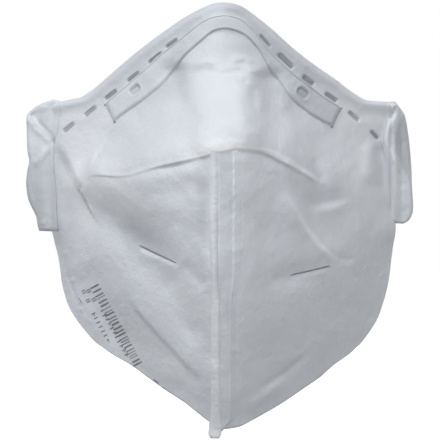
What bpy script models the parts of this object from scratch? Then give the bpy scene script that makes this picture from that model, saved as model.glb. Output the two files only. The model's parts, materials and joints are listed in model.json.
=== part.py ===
"""Disposable dust mask: a vertical fold-flat half mask, opened as worn.

Metres, +Z up, the front of the mask towards -Y. The origin is the foot of the
chin tongue. Each half is a laminate of five webs. The two halves meet at the
front seam, whose welded plies lie on the ridge and end in the chin tongue. The
nose clip crosses the bridge outside, with a foam pad inside. The side tabs are
the fused flanges that carry the elastic ear loops.
"""

import math

import bmesh
import bpy
from mathutils import Vector

# All dimensions below are in millimetres; MM turns them into metres.
MM = 0.001
SIDES = (("left", -1), ("right", 1))  # label, sign of X

# ---- Outline of one half: (distance from mid-plane, height Z) ----
PANEL_HALF_WIDTH = 58.0
HALF_GAP = 0.45  # from the mid-plane to the seam edge of each half
BOTTOM_HEM_MID = 4.6
CREASE_MID = 99.5
LEDGE_RISE = 4.0  # height of the ledge line above the crease
CLIP_LOW_MID = 143.0
TOP_HEM_MID = 152.2

TOP_HEM = (
    (0.0, TOP_HEM_MID), (8.0, 150.0), (18.0, 143.1), (36.0, 129.2), (48.0, 120.2),
    (PANEL_HALF_WIDTH, 117.6),
)
BOTTOM_HEM = (
    (0.0, BOTTOM_HEM_MID), (8.0, 6.6), (30.0, 21.0), (47.0, 33.8), (53.0, 41.9), (56.4, 52.0),
    (PANEL_HALF_WIDTH, 71.0),
)
CREASE = (
    (0.0, CREASE_MID), (8.0, 98.2), (20.0, 94.6), (32.0, 91.0), (44.0, 90.0),
    (PANEL_HALF_WIDTH, 91.0),
)
# Lower and upper lines of the band under the nose clip
CLIP_LOW = (
    (0.0, CLIP_LOW_MID), (7.0, 140.5), (15.0, 132.2), (22.5, 124.2), (30.0, 117.0), (38.0, 110.4),
    (PANEL_HALF_WIDTH, 100.0),
)
CLIP_HIGH = (
    (0.0, 147.8), (7.0, 145.2), (15.0, 138.0), (22.0, 131.9), (30.0, 124.8), (40.0, 116.8),
    (PANEL_HALF_WIDTH, 106.5),
)

# ---- Profile of the front seam: (height Z, depth in front of the side tabs) ----
SEAM_DEPTH = (
    (BOTTOM_HEM_MID, 50.0), (12.0, 53.6), (25.0, 59.5), (40.0, 65.5), (60.0, 70.8),
    (80.0, 72.0), (92.0, 71.0), (CREASE_MID, 69.6), (CREASE_MID + LEDGE_RISE, 73.6),
    (108.0, 71.5), (115.0, 64.0), (125.0, 53.5), (135.0, 44.0), (CLIP_LOW_MID, 38.0),
    (TOP_HEM_MID, 31.5),
)

# ---- Horizontal section: share that is a straight-sided ridge, not a round ----
RIDGE_SHARP_LOW = 0.62
RIDGE_SHARP_MID = 0.56
RIDGE_SHARP_NOSE = 0.10
RIDGE_SHARP_TOP = 0.45
LOW_BLEND = (5.0, 45.0)  # seam heights over which low turns to mid
TOP_BLEND = (122.0, 148.0)  # seam heights over which nose turns to top
SIDE_BLEND = (0.42, 0.82)  # shares of the half width over which nose turns to mid
RIDGE_ROUND = 5.0  # softens the ridge at the mid-plane

# ---- Grid of each half ----
COLUMNS = (
    HALF_GAP, 5.0, 10.0, 15.5, 21.5, 28.0, 34.5, 41.0, 47.0, 52.0, 55.8, PANEL_HALF_WIDTH,
)
ROWS_LOW = 6  # between the bottom hem and the crease
ROWS_NOSE = 4  # between the ledge and the clip band

# Name, inset from the mask's outer face, thickness, colour
WEBS = (
    ("outer_cover", 0.00, 0.40, (0.86, 0.87, 0.89)),
    ("stiffener_layer", 0.70, 0.50, (0.80, 0.81, 0.82)),
    ("filter_web_outer", 1.50, 0.30, (0.90, 0.90, 0.91)),
    ("filter_web_inner", 2.10, 0.30, (0.91, 0.91, 0.92)),
    ("inner_lining", 2.70, 0.35, (0.88, 0.88, 0.88)),
)
MIN_SPREAD = 0.6  # limits how far a sharp bend lengthens the inset

# ---- Seam plies and chin tongue ----
SEAM_TOP_Z = 94.0
SEAM_PLY = 0.80
SEAM_PLY_GAP = 0.35
SEAM_STEPS = 16
SEAM_ACROSS = (-1.0, -0.45, 0.0, 0.45, 1.0)  # shares of the ply's half width
TONGUE_WIDTH = 4.4
TONGUE_TOP_Z = 6.5
TONGUE_LIFT_FACTOR = 1.1  # lift of the upright tongue against the lift on the ridge
TONGUE_FULL_RISE = 1.0  # the ply is down to the tongue's width this far above its end
# Name, width, lift off the outer face, Z of the lower end
SEAM_PLIES = (
    ("seam_ply_base", 7.4, SEAM_PLY_GAP, 0.0),
    ("seam_ply_cap", 5.6, 2 * SEAM_PLY_GAP + SEAM_PLY, 2.8),
)

# ---- Nose clip and foam ----
CLIP_HALF_SPAN = 38.6
CLIP_STEPS = 24
CLIP_GAP = 0.35
CLIP_CORE_SPAN_SHARE = 0.97  # core span as a share of the cover span
CLIP_CORE_WIDTH = 3.6
CLIP_CORE_THICK = 0.60
CLIP_COVER_WIDTH = 6.0
CLIP_COVER_THICK = 0.35
CLIP_COVER_SLOPE = 0.75  # width of the sloping edge on each side of the cover

FOAM_HALF_SPAN = 27.0
FOAM_STEPS = 14
FOAM_WIDTH = 9.0
FOAM_THICK = 2.6
FOAM_CLEAR = 4.3  # from the mask's outer face inwards to the foam
FOAM_DROP = 1.0  # below the clip's centre line

# ---- Side tabs ----
TAB_AXIS_X = 58.65
TAB_THICK = 1.0
# Distance from mid-plane, height Z
TAB_OUTLINE = (
    (59.1, 72.4), (62.9, 72.6), (64.6, 74.2), (66.0, 80.0), (67.2, 92.0),
    (67.5, 106.0), (67.2, 110.6), (65.6, 113.9), (62.4, 115.9), (59.1, 117.0),
)

# ---- Ear loops ----
LOOP_X = 62.7
LOOP_RADIUS = 1.15  # of the cord
LOOP_TAB_GAP = 0.3
LOOP_MID_Z = 94.0
LOOP_HALF_HEIGHT = 15.0
LOOP_REACH = 62.0
LOOP_END = 5.0  # straight length of cord along the tab at each weld
LOOP_BEND = 3.0
LOOP_BEND_STEPS = 4
LOOP_ARC_STEPS = 14
LOOP_ARC_SWELL = 1.0  # extra half height of the rear arc
LOOP_BOW = 1.2  # extra half height between the bend and the arc
LOOP_BOW_SHARE = 0.45  # place of that point along the run to the arc

# ---- Object origins ----
FOLD_AXIS_DEPTH = 75.0  # fold axis in front of the side tabs

# ---- Finite difference steps ----
NORMAL_STEP = 0.25
TANGENT_STEP = 0.4


# ---- Shape of the outer face ----

def curve_value(knots, x):
    """Monotone cubic through a few knots."""
    if x <= knots[0][0]:
        return knots[0][1]
    if x >= knots[-1][0]:
        return knots[-1][1]
    slopes = [(z1 - z0) / (x1 - x0) for (x0, z0), (x1, z1) in zip(knots, knots[1:])]
    tangents = [slopes[0]]
    for before, after in zip(slopes, slopes[1:]):
        turns = before * after <= 0
        tangents.append(0.0 if turns else 2 * before * after / (before + after))
    tangents.append(slopes[-1])

    i = next(i for i in range(len(slopes)) if x <= knots[i + 1][0])
    x0, z0 = knots[i]
    x1, z1 = knots[i + 1]
    width = x1 - x0
    s = (x - x0) / width
    return (
        (2 * s**3 - 3 * s**2 + 1) * z0
        + (s**3 - 2 * s**2 + s) * width * tangents[i]
        + (-2 * s**3 + 3 * s**2) * z1
        + (s**3 - s**2) * width * tangents[i + 1]
    )


def smooth_step(start, end, value):
    share = min(1.0, max(0.0, (value - start) / (end - start)))
    return share * share * (3 - 2 * share)


def line_heights(x):
    """Heights of the hem, crease, ledge and clip lines at distance x from the mid-plane."""
    crease = curve_value(CREASE, x)
    return (
        curve_value(BOTTOM_HEM, x),
        crease,
        crease + LEDGE_RISE,
        curve_value(CLIP_LOW, x),
        curve_value(CLIP_HIGH, x),
        curve_value(TOP_HEM, x),
    )


def seam_height(x, z):
    """Height on the seam of the row that passes through (x, z)."""
    here = line_heights(x)
    mid = line_heights(0.0)
    band = next((i for i in range(4) if z <= here[i + 1]), 4)
    share = (z - here[band]) / (here[band + 1] - here[band])
    return mid[band] + share * (mid[band + 1] - mid[band])


def ridge_sharpness(x, seam_z):
    """Share of the section that is a straight-sided ridge rather than a round."""
    side_fade = smooth_step(*SIDE_BLEND, x / PANEL_HALF_WIDTH)
    nose = RIDGE_SHARP_NOSE + (RIDGE_SHARP_MID - RIDGE_SHARP_NOSE) * side_fade
    low_fade = smooth_step(*LOW_BLEND, seam_z)
    low = RIDGE_SHARP_LOW + (RIDGE_SHARP_MID - RIDGE_SHARP_LOW) * low_fade
    base = low + (nose - low) * smooth_step(CREASE_MID, CREASE_MID + LEDGE_RISE, seam_z)
    return base + (RIDGE_SHARP_TOP - base) * smooth_step(*TOP_BLEND, seam_z)


def rounded_distance(x):
    """Distance from the mid-plane with its corner at x = 0 rounded off."""
    return math.sqrt(x * x + RIDGE_ROUND**2) - RIDGE_ROUND


def depth(x, z):
    """Depth (towards -Y) of the outer face in front of the side tabs."""
    x = abs(x)
    seam_z = seam_height(x, z)
    sharp = ridge_sharpness(x, seam_z)
    ridge = rounded_distance(x) / rounded_distance(PANEL_HALF_WIDTH)
    dome = (x / PANEL_HALF_WIDTH) ** 2
    return curve_value(SEAM_DEPTH, seam_z) * (1.0 - (sharp * ridge + (1 - sharp) * dome))


# The base ply's tongue is centred on Y = 0, which places the side tabs.
TONGUE_DEPTH = depth(0.0, TONGUE_TOP_Z)
SIDE_Y = TONGUE_DEPTH + SEAM_PLY_GAP * TONGUE_LIFT_FACTOR + SEAM_PLY / 2
SHEET_ORIGIN = Vector((0.0, SIDE_Y - FOLD_AXIS_DEPTH, 0.0))


def outer_point(x, z):
    return Vector((x, SIDE_Y - depth(x, z), z))


def outer_normal(x, z):
    """Unit normal of the outer face, towards the front."""
    step = NORMAL_STEP
    along_x = (outer_point(x + step, z) - outer_point(x - step, z)) / (2 * step)
    along_z = (outer_point(x, z + step) - outer_point(x, z - step)) / (2 * step)
    normal = along_x.cross(along_z)
    normal.normalize()
    return normal if normal.y < 0 else -normal


# ---- Shared builders ----

def make_material(name, colour, roughness, metallic=0.0):
    mat = bpy.data.materials.new(name)
    mat.use_nodes = True
    inputs = mat.node_tree.nodes["Principled BSDF"].inputs
    inputs["Base Color"].default_value = (*colour, 1.0)
    inputs["Roughness"].default_value = roughness
    inputs["Metallic"].default_value = metallic
    mat.diffuse_color = (*colour, 1.0)
    return mat


def add_object(part, name, data, origin, mat):
    ob = bpy.data.objects.new(name, data)
    ob.location = origin * MM
    part.objects.link(ob)
    data.materials.append(mat)
    return ob


def add_sheet(part, name, points, mat, thickness, outward):
    """Triangulated open sheet through points[column][row], thickened by Solidify."""
    column_count = len(points)
    bm = bmesh.new()
    bmesh.ops.create_grid(
        bm, x_segments=column_count - 1, y_segments=len(points[0]) - 1, size=1.0
    )
    # The grid's vertices run along X first, then up row by row.
    for index, vert in enumerate(bm.verts):
        row, column = divmod(index, column_count)
        vert.co = points[column][row]
    bmesh.ops.triangulate(bm, faces=bm.faces[:], quad_method="FIXED")
    bmesh.ops.recalc_face_normals(bm, faces=bm.faces[:])
    bm.normal_update()
    # The normals have to face the front, so that Solidify's offset has a known side.
    if sum(face.normal.y * face.calc_area() for face in bm.faces) > 0:
        bmesh.ops.reverse_faces(bm, faces=bm.faces[:])
    for vert in bm.verts:
        vert.co = (vert.co - SHEET_ORIGIN) * MM

    mesh = bpy.data.meshes.new(name)
    bm.to_mesh(mesh)
    bm.free()
    for polygon in mesh.polygons:
        polygon.use_smooth = True
    ob = add_object(part, name, mesh, SHEET_ORIGIN, mat)
    solidify = ob.modifiers.new("thickness", "SOLIDIFY")
    solidify.thickness = thickness * MM
    solidify.offset = 1.0 if outward else -1.0
    solidify.use_even_offset = True


def add_curve(part, name, points, origin, mat, **settings):
    """Curve object with one poly spline; points are in mm from the origin."""
    curve = bpy.data.curves.new(name, "CURVE")
    for key, value in settings.items():
        setattr(curve, key, value)
    spline = curve.splines.new("POLY")
    spline.points.add(len(points) - 1)
    for point, (x, y, z) in zip(spline.points, points):
        point.co = (x * MM, y * MM, z * MM, 1.0)
    return add_object(part, name, curve, origin, mat)


# ---- Webs ----

def row_heights(x):
    bottom, crease, ledge, clip_low, clip_high, top = line_heights(x)
    low_rows = [bottom + (crease - bottom) * j / ROWS_LOW for j in range(ROWS_LOW)]
    nose_rows = [ledge + (clip_low - ledge) * j / ROWS_NOSE for j in range(1, ROWS_NOSE)]
    return [*low_rows, crease, ledge, *nose_rows, clip_low, clip_high, top]


def grid_normal(grid, i, j):
    """Normal at a grid point, and its mean cosine to the corners around it."""
    here = grid[i][j]
    corners = []
    around = ((1, 0), (0, 1), (-1, 0), (0, -1))
    for (di1, dj1), (di2, dj2) in zip(around, around[1:] + around[:1]):
        i1, j1, i2, j2 = i + di1, j + dj1, i + di2, j + dj2
        columns_inside = min(i1, i2) >= 0 and max(i1, i2) < len(grid)
        rows_inside = min(j1, j2) >= 0 and max(j1, j2) < len(grid[0])
        if columns_inside and rows_inside:
            corner = (grid[i1][j1] - here).cross(grid[i2][j2] - here)
            corner.normalize()
            corners.append(corner)
    normal = sum(corners, Vector())
    normal.normalize()
    spread = sum(normal.dot(corner) for corner in corners) / len(corners)
    return (-normal if normal.y > 0 else normal), spread


def web_points(side, inset):
    """Grid of points of one web's outer face, inset from the mask's outer face."""
    outer = [[outer_point(side * x, z) for z in row_heights(x)] for x in COLUMNS]
    if not inset:
        return outer
    web = []
    for i, column in enumerate(outer):
        web_column = []
        for j, point in enumerate(column):
            normal, spread = grid_normal(outer, i, j)
            offset = -normal * (inset / max(MIN_SPREAD, spread))
            if i == 0:
                # Keep the seam edge at its distance from the mid-plane.
                flat = Vector((0.0, offset.y, offset.z))
                offset = flat * (normal.dot(offset) / normal.dot(flat))
            web_column.append(point + offset)
        web.append(web_column)
    return web


def build_webs(part):
    for web, inset, thickness, colour in WEBS:
        for label, side in SIDES:
            name = f"{web}_{label}"
            mat = make_material(f"{name}_web", colour, roughness=0.9)
            add_sheet(part, name, web_points(side, inset), mat, thickness, outward=False)


# ---- Seam ----

def seam_point(share, z, half_width, lift, end_z):
    """Point on a ply: on the ridge, or on the upright tongue below it."""
    tongue_y = SIDE_Y - TONGUE_DEPTH - lift * TONGUE_LIFT_FACTOR
    if z < TONGUE_TOP_Z:
        taper = smooth_step(TONGUE_TOP_Z, end_z + TONGUE_FULL_RISE, z)
        half = half_width + (TONGUE_WIDTH / 2 - half_width) * taper
        return Vector((share * half, tongue_y, z))
    x = share * half_width
    y = SIDE_Y - depth(x, z) - lift / abs(outer_normal(x, z).y)
    if z == TONGUE_TOP_Z:
        # The row where the tongue starts stays no further back than the tongue.
        y = min(y, tongue_y)
    return Vector((x, y, z))


def build_seam(part):
    """Two welded plies on the ridge; the longer one ends in the chin tongue."""
    rise = SEAM_TOP_Z - TONGUE_TOP_Z
    ridge = [TONGUE_TOP_Z + rise * k / SEAM_STEPS for k in range(1, SEAM_STEPS + 1)]
    for name, width, lift, end_z in SEAM_PLIES:
        heights = [end_z, (end_z + TONGUE_TOP_Z) / 2, TONGUE_TOP_Z, *ridge]
        points = [
            [seam_point(share, z, width / 2, lift, end_z) for z in heights]
            for share in SEAM_ACROSS
        ]
        mat = make_material(f"{name}_web", (0.87, 0.88, 0.90), roughness=0.75)
        add_sheet(part, name, points, mat, SEAM_PLY, outward=True)


# ---- Nose clip and foam ----

def clip_line_point(x):
    """Point of the outer face on the clip's centre line."""
    z = (curve_value(CLIP_LOW, abs(x)) + curve_value(CLIP_HIGH, abs(x))) / 2
    return outer_point(x, z)


def strip_point(x, across, lift):
    """Point beside the clip's centre line, lifted off the outer face (negative: inside)."""
    centre = clip_line_point(x)
    tangent = clip_line_point(x + TANGENT_STEP) - clip_line_point(x - TANGENT_STEP)
    upward = outer_normal(x, centre.z).cross(tangent)
    upward.normalize()
    if upward.z < 0:
        upward = -upward
    beside = centre + upward * across
    return outer_point(beside.x, beside.z) + outer_normal(beside.x, beside.z) * lift


def strip_points(half_span, steps, profile, span_share=1.0):
    """Strip along the clip line; profile holds (distance across, lift)."""
    stations = [-half_span + 2 * half_span * k / steps for k in range(steps + 1)]
    return [
        [strip_point(x * span_share, across, lift) for across, lift in profile]
        for x in stations
    ]


def build_clip_core(part):
    half = CLIP_CORE_WIDTH / 2
    profile = ((-half, CLIP_GAP), (half, CLIP_GAP))
    points = strip_points(CLIP_HALF_SPAN, CLIP_STEPS, profile, CLIP_CORE_SPAN_SHARE)
    mat = make_material(
        "nose_clip_core_metal", (0.78, 0.79, 0.80), roughness=0.4, metallic=1.0
    )
    add_sheet(part, "nose_clip_core", points, mat, CLIP_CORE_THICK, outward=True)


def build_clip_cover(part):
    """Film over the core, with its long edges sloping down to the mask."""
    half = CLIP_COVER_WIDTH / 2
    flat = half - CLIP_COVER_SLOPE
    high = CLIP_GAP * 2 + CLIP_CORE_THICK
    profile = ((-half, CLIP_GAP), (-flat, high), (0.0, high), (flat, high), (half, CLIP_GAP))
    points = strip_points(CLIP_HALF_SPAN, CLIP_STEPS, profile)
    mat = make_material("nose_clip_cover_film", (0.84, 0.86, 0.89), roughness=0.45)
    add_sheet(part, "nose_clip_cover", points, mat, CLIP_COVER_THICK, outward=True)


def build_foam(part):
    half = FOAM_WIDTH / 2
    profile = [(across - FOAM_DROP, -FOAM_CLEAR) for across in (-half, 0.0, half)]
    points = strip_points(FOAM_HALF_SPAN, FOAM_STEPS, profile)
    mat = make_material("nose_foam_cells", (0.78, 0.79, 0.80), roughness=0.95)
    add_sheet(part, "nose_foam", points, mat, FOAM_THICK, outward=False)


# ---- Side tabs and ear loops ----

def build_tabs(part):
    """Flat outlines drawn in the curve's XY plane and turned upright."""
    for label, side in SIDES:
        name = f"side_tab_{label}"
        points = [(side * (x - TAB_AXIS_X), z - LOOP_MID_Z, 0.0) for x, z in TAB_OUTLINE]
        origin = Vector((side * TAB_AXIS_X, SIDE_Y, LOOP_MID_Z))
        mat = make_material(f"{name}_web", (0.86, 0.87, 0.89), roughness=0.8)
        ob = add_curve(
            part, name, points, origin, mat,
            dimensions="2D", fill_mode="BOTH", extrude=TAB_THICK / 2 * MM,
        )
        ob.data.splines[0].use_cyclic_u = True
        ob.rotation_euler = (math.radians(90.0), 0.0, 0.0)


def loop_path():
    """Cord path from the lower weld to the upper weld: (distance back, height)."""
    bend = LOOP_BEND
    bottom = -LOOP_HALF_HEIGHT
    run = LOOP_REACH - LOOP_HALF_HEIGHT
    lower = [(0.0, bottom + LOOP_END + bend)]
    for k in range(LOOP_BEND_STEPS + 1):
        angle = math.radians(90 * k / LOOP_BEND_STEPS)
        lower.append((bend - bend * math.cos(angle), bottom + bend - bend * math.sin(angle)))
    lower.append((run * LOOP_BOW_SHARE, bottom - LOOP_BOW))

    arc = []
    for k in range(LOOP_ARC_STEPS + 1):
        angle = -math.pi / 2 + math.pi * k / LOOP_ARC_STEPS
        back = run + LOOP_HALF_HEIGHT * math.cos(angle)
        arc.append((back, (LOOP_HALF_HEIGHT + LOOP_ARC_SWELL) * math.sin(angle)))
    upper = [(back, -z) for back, z in reversed(lower)]
    return lower + arc + upper


def build_loops(part):
    """Cords welded to the rear faces of the tabs."""
    cord_y = SIDE_Y + TAB_THICK / 2 + LOOP_TAB_GAP + LOOP_RADIUS
    points = [(0.0, back, z) for back, z in loop_path()]
    for label, side in SIDES:
        name = f"ear_loop_{label}"
        origin = Vector((side * LOOP_X, cord_y, LOOP_MID_Z))
        mat = make_material(f"{name}_elastic", (0.88, 0.88, 0.87), roughness=0.7)
        add_curve(
            part, name, points, origin, mat,
            dimensions="3D", bevel_depth=LOOP_RADIUS * MM, bevel_resolution=2,
            use_fill_caps=True,
        )


def clear_scene():
    for ob in list(bpy.data.objects):
        bpy.data.objects.remove(ob, do_unlink=True)


def main():
    clear_scene()
    part = bpy.data.collections.new("disposable_dust_mask")
    bpy.context.scene.collection.children.link(part)
    build_webs(part)
    build_seam(part)
    build_clip_core(part)
    build_clip_cover(part)
    build_foam(part)
    build_tabs(part)
    build_loops(part)


main()
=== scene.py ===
"""Disposable dust mask: nonwoven shell, nose clip strip, front seam, side tabs, cords and foam.

The mask faces -Y, its left half at -X and its top at +Z. Depth is counted in mm forward of the
side hems. Shapes are worked out in mm and become metres when a mesh is made.
"""
import json
import math
import bpy
import numpy as np
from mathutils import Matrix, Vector


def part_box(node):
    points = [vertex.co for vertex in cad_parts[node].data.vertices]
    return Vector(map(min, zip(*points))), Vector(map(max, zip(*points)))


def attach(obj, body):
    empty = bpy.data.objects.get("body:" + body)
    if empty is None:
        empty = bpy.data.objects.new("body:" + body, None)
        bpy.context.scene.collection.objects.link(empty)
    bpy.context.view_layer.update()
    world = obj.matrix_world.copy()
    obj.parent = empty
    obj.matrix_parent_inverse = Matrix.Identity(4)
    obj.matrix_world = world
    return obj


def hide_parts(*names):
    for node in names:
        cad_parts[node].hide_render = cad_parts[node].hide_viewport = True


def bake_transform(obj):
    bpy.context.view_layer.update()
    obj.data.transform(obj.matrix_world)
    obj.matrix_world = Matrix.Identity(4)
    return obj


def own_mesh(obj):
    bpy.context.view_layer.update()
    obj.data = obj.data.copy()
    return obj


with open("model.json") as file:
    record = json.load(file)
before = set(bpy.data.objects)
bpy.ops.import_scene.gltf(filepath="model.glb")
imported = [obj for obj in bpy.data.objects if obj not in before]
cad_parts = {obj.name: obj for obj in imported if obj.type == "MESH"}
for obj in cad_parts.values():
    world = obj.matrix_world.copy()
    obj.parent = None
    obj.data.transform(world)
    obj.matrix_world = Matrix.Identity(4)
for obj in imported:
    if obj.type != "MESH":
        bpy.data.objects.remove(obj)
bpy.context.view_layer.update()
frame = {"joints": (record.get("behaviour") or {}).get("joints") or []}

MM = 0.001
JOINTS = {joint["name"]: joint["pos_m"] for joint in frame["joints"]}
tab_low, tab_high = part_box("side_tab_left")
SIDE_Y = (tab_low.y + tab_high.y) / 2 / MM  # the side hems, where depth is 0

# ---------------------------------------------------------------- outline and landmark lines
EDGE_L, EDGE_R = -59.5, 60.4
# lines across the shell from left to right, as (x, z)
TOP = (
    (EDGE_L, 117.8), (-58.4, 117.9), (-55.8, 118.3), (-53.0, 118.8), (-49.2, 119.5),
    (-45.3, 121.6), (-42.5, 123.7), (-37.6, 127.9), (-29.9, 134.4), (-21.9, 140.5),
    (-15.9, 144.7), (-12.8, 146.8), (-8.6, 149.1), (-4.7, 151.0), (-1.9, 152.0), (0.9, 152.3),
    (4.4, 152.0), (7.5, 151.0), (10.7, 148.9), (13.5, 146.8), (18.7, 142.6), (25.7, 136.3),
    (34.1, 130.0), (40.4, 125.8), (46.0, 121.6), (52.0, 118.6), (EDGE_R, 118.2),
)
LOW = (
    (-60.4, 76.0), (-58.6, 71.2), (-57.6, 67.0), (-56.5, 62.8), (-55.8, 58.6), (-55.4, 54.4),
    (-54.4, 50.2), (-53.0, 46.0), (-50.6, 41.8), (-47.4, 37.6), (-43.6, 33.4), (-38.0, 29.2),
    (-30.6, 25.0), (-24.7, 20.8), (-18.7, 16.6), (-12.1, 12.4), (-6.8, 8.2), (-3.7, 5.9),
    (1.6, 3.3), (6.5, 4.0), (11.0, 6.1), (14.9, 8.2), (22.2, 12.4), (28.5, 16.6),
    (34.8, 20.8), (39.7, 25.0), (45.7, 29.2), (49.9, 33.4), (53.0, 37.6), (55.5, 41.8),
    (57.0, 46.0), (58.3, 50.2), (59.2, 54.4), (59.8, 58.6), (60.2, 62.8), (60.7, 67.0),
    (61.6, 71.4),
)
# lower edge of the nose panel
CREASE = (
    (-60.4, 86.0), (-48.8, 88.0), (-43.9, 91.5), (-34.5, 90.8), (-20.8, 93.9), (-6.8, 96.8),
    (1.2, 98.9), (6.1, 99.7), (13.1, 99.1), (21.2, 95.7), (29.2, 91.5), (34.8, 88.2),
    (46.0, 85.5), (61.6, 84.0),
)
# lower and upper edge of the nose clip zone, hem to hem
CLIP_LOW = (
    (-60.4, 97.0), (-45.3, 103.8), (-36.6, 110.8), (-22.9, 123.0), (-18.0, 128.3),
    (-14.9, 131.4), (-10.7, 136.7), (-6.8, 140.2), (-3.0, 142.1), (1.2, 142.9), (5.4, 142.1),
    (9.3, 140.2), (13.5, 135.6), (17.7, 128.3), (23.3, 122.3), (28.2, 116.7), (39.0, 109.0),
    (49.2, 102.0), (61.6, 95.0),
)
CLIP_HIGH = (
    (-60.4, 103.5), (-48.8, 109.0), (-39.7, 117.1), (-27.8, 127.6), (-20.1, 134.6),
    (-14.9, 138.4), (-10.7, 141.9), (-6.8, 144.9), (-3.0, 147.0), (1.2, 147.8), (4.7, 147.3),
    (8.2, 145.6), (12.4, 140.9), (16.3, 135.8), (24.3, 129.7), (42.2, 115.7), (50.9, 108.3),
    (61.6, 101.0),
)
# depth of the centre line, as (height, depth): crisp at the seam, soft towards the sides
SEAM_DEPTH = (
    (0.0, 48.5), (4.6, 50.0), (12.0, 53.6), (25.0, 59.5), (40.0, 65.5), (60.0, 70.8),
    (80.0, 72.0), (92.0, 72.3), (98.4, 72.3), (100.9, 72.8), (105.6, 71.7), (111.0, 67.6),
    (118.0, 58.8), (125.0, 51.4), (131.0, 47.4), (137.0, 45.5), (143.0, 44.6),
    (148.0, 44.1), (153.0, 42.6),
)
SEAM_SOFT = (
    (0.0, 48.5), (25.0, 59.5), (45.0, 66.5), (60.0, 69.4), (72.0, 70.2), (84.0, 69.4),
    (95.0, 66.6), (106.0, 62.2), (118.0, 56.4), (130.0, 50.6), (141.0, 46.6), (153.0, 43.0),
)
# share of straight fall (the rest is a parabola) from the centre line to the hems
SHARP_LOW, SHARP_MID, SHARP_NOSE, SHARP_TOP = 0.60, 0.54, 0.06, 0.42
ROUND = 5.5  # rounding of the straight fall at the centre line
FACE_LIFT = 0.6  # the outer face stands this far in front of the base form
SEAM_TOP = 98.6  # highest place where the seam plies follow the shell

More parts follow.
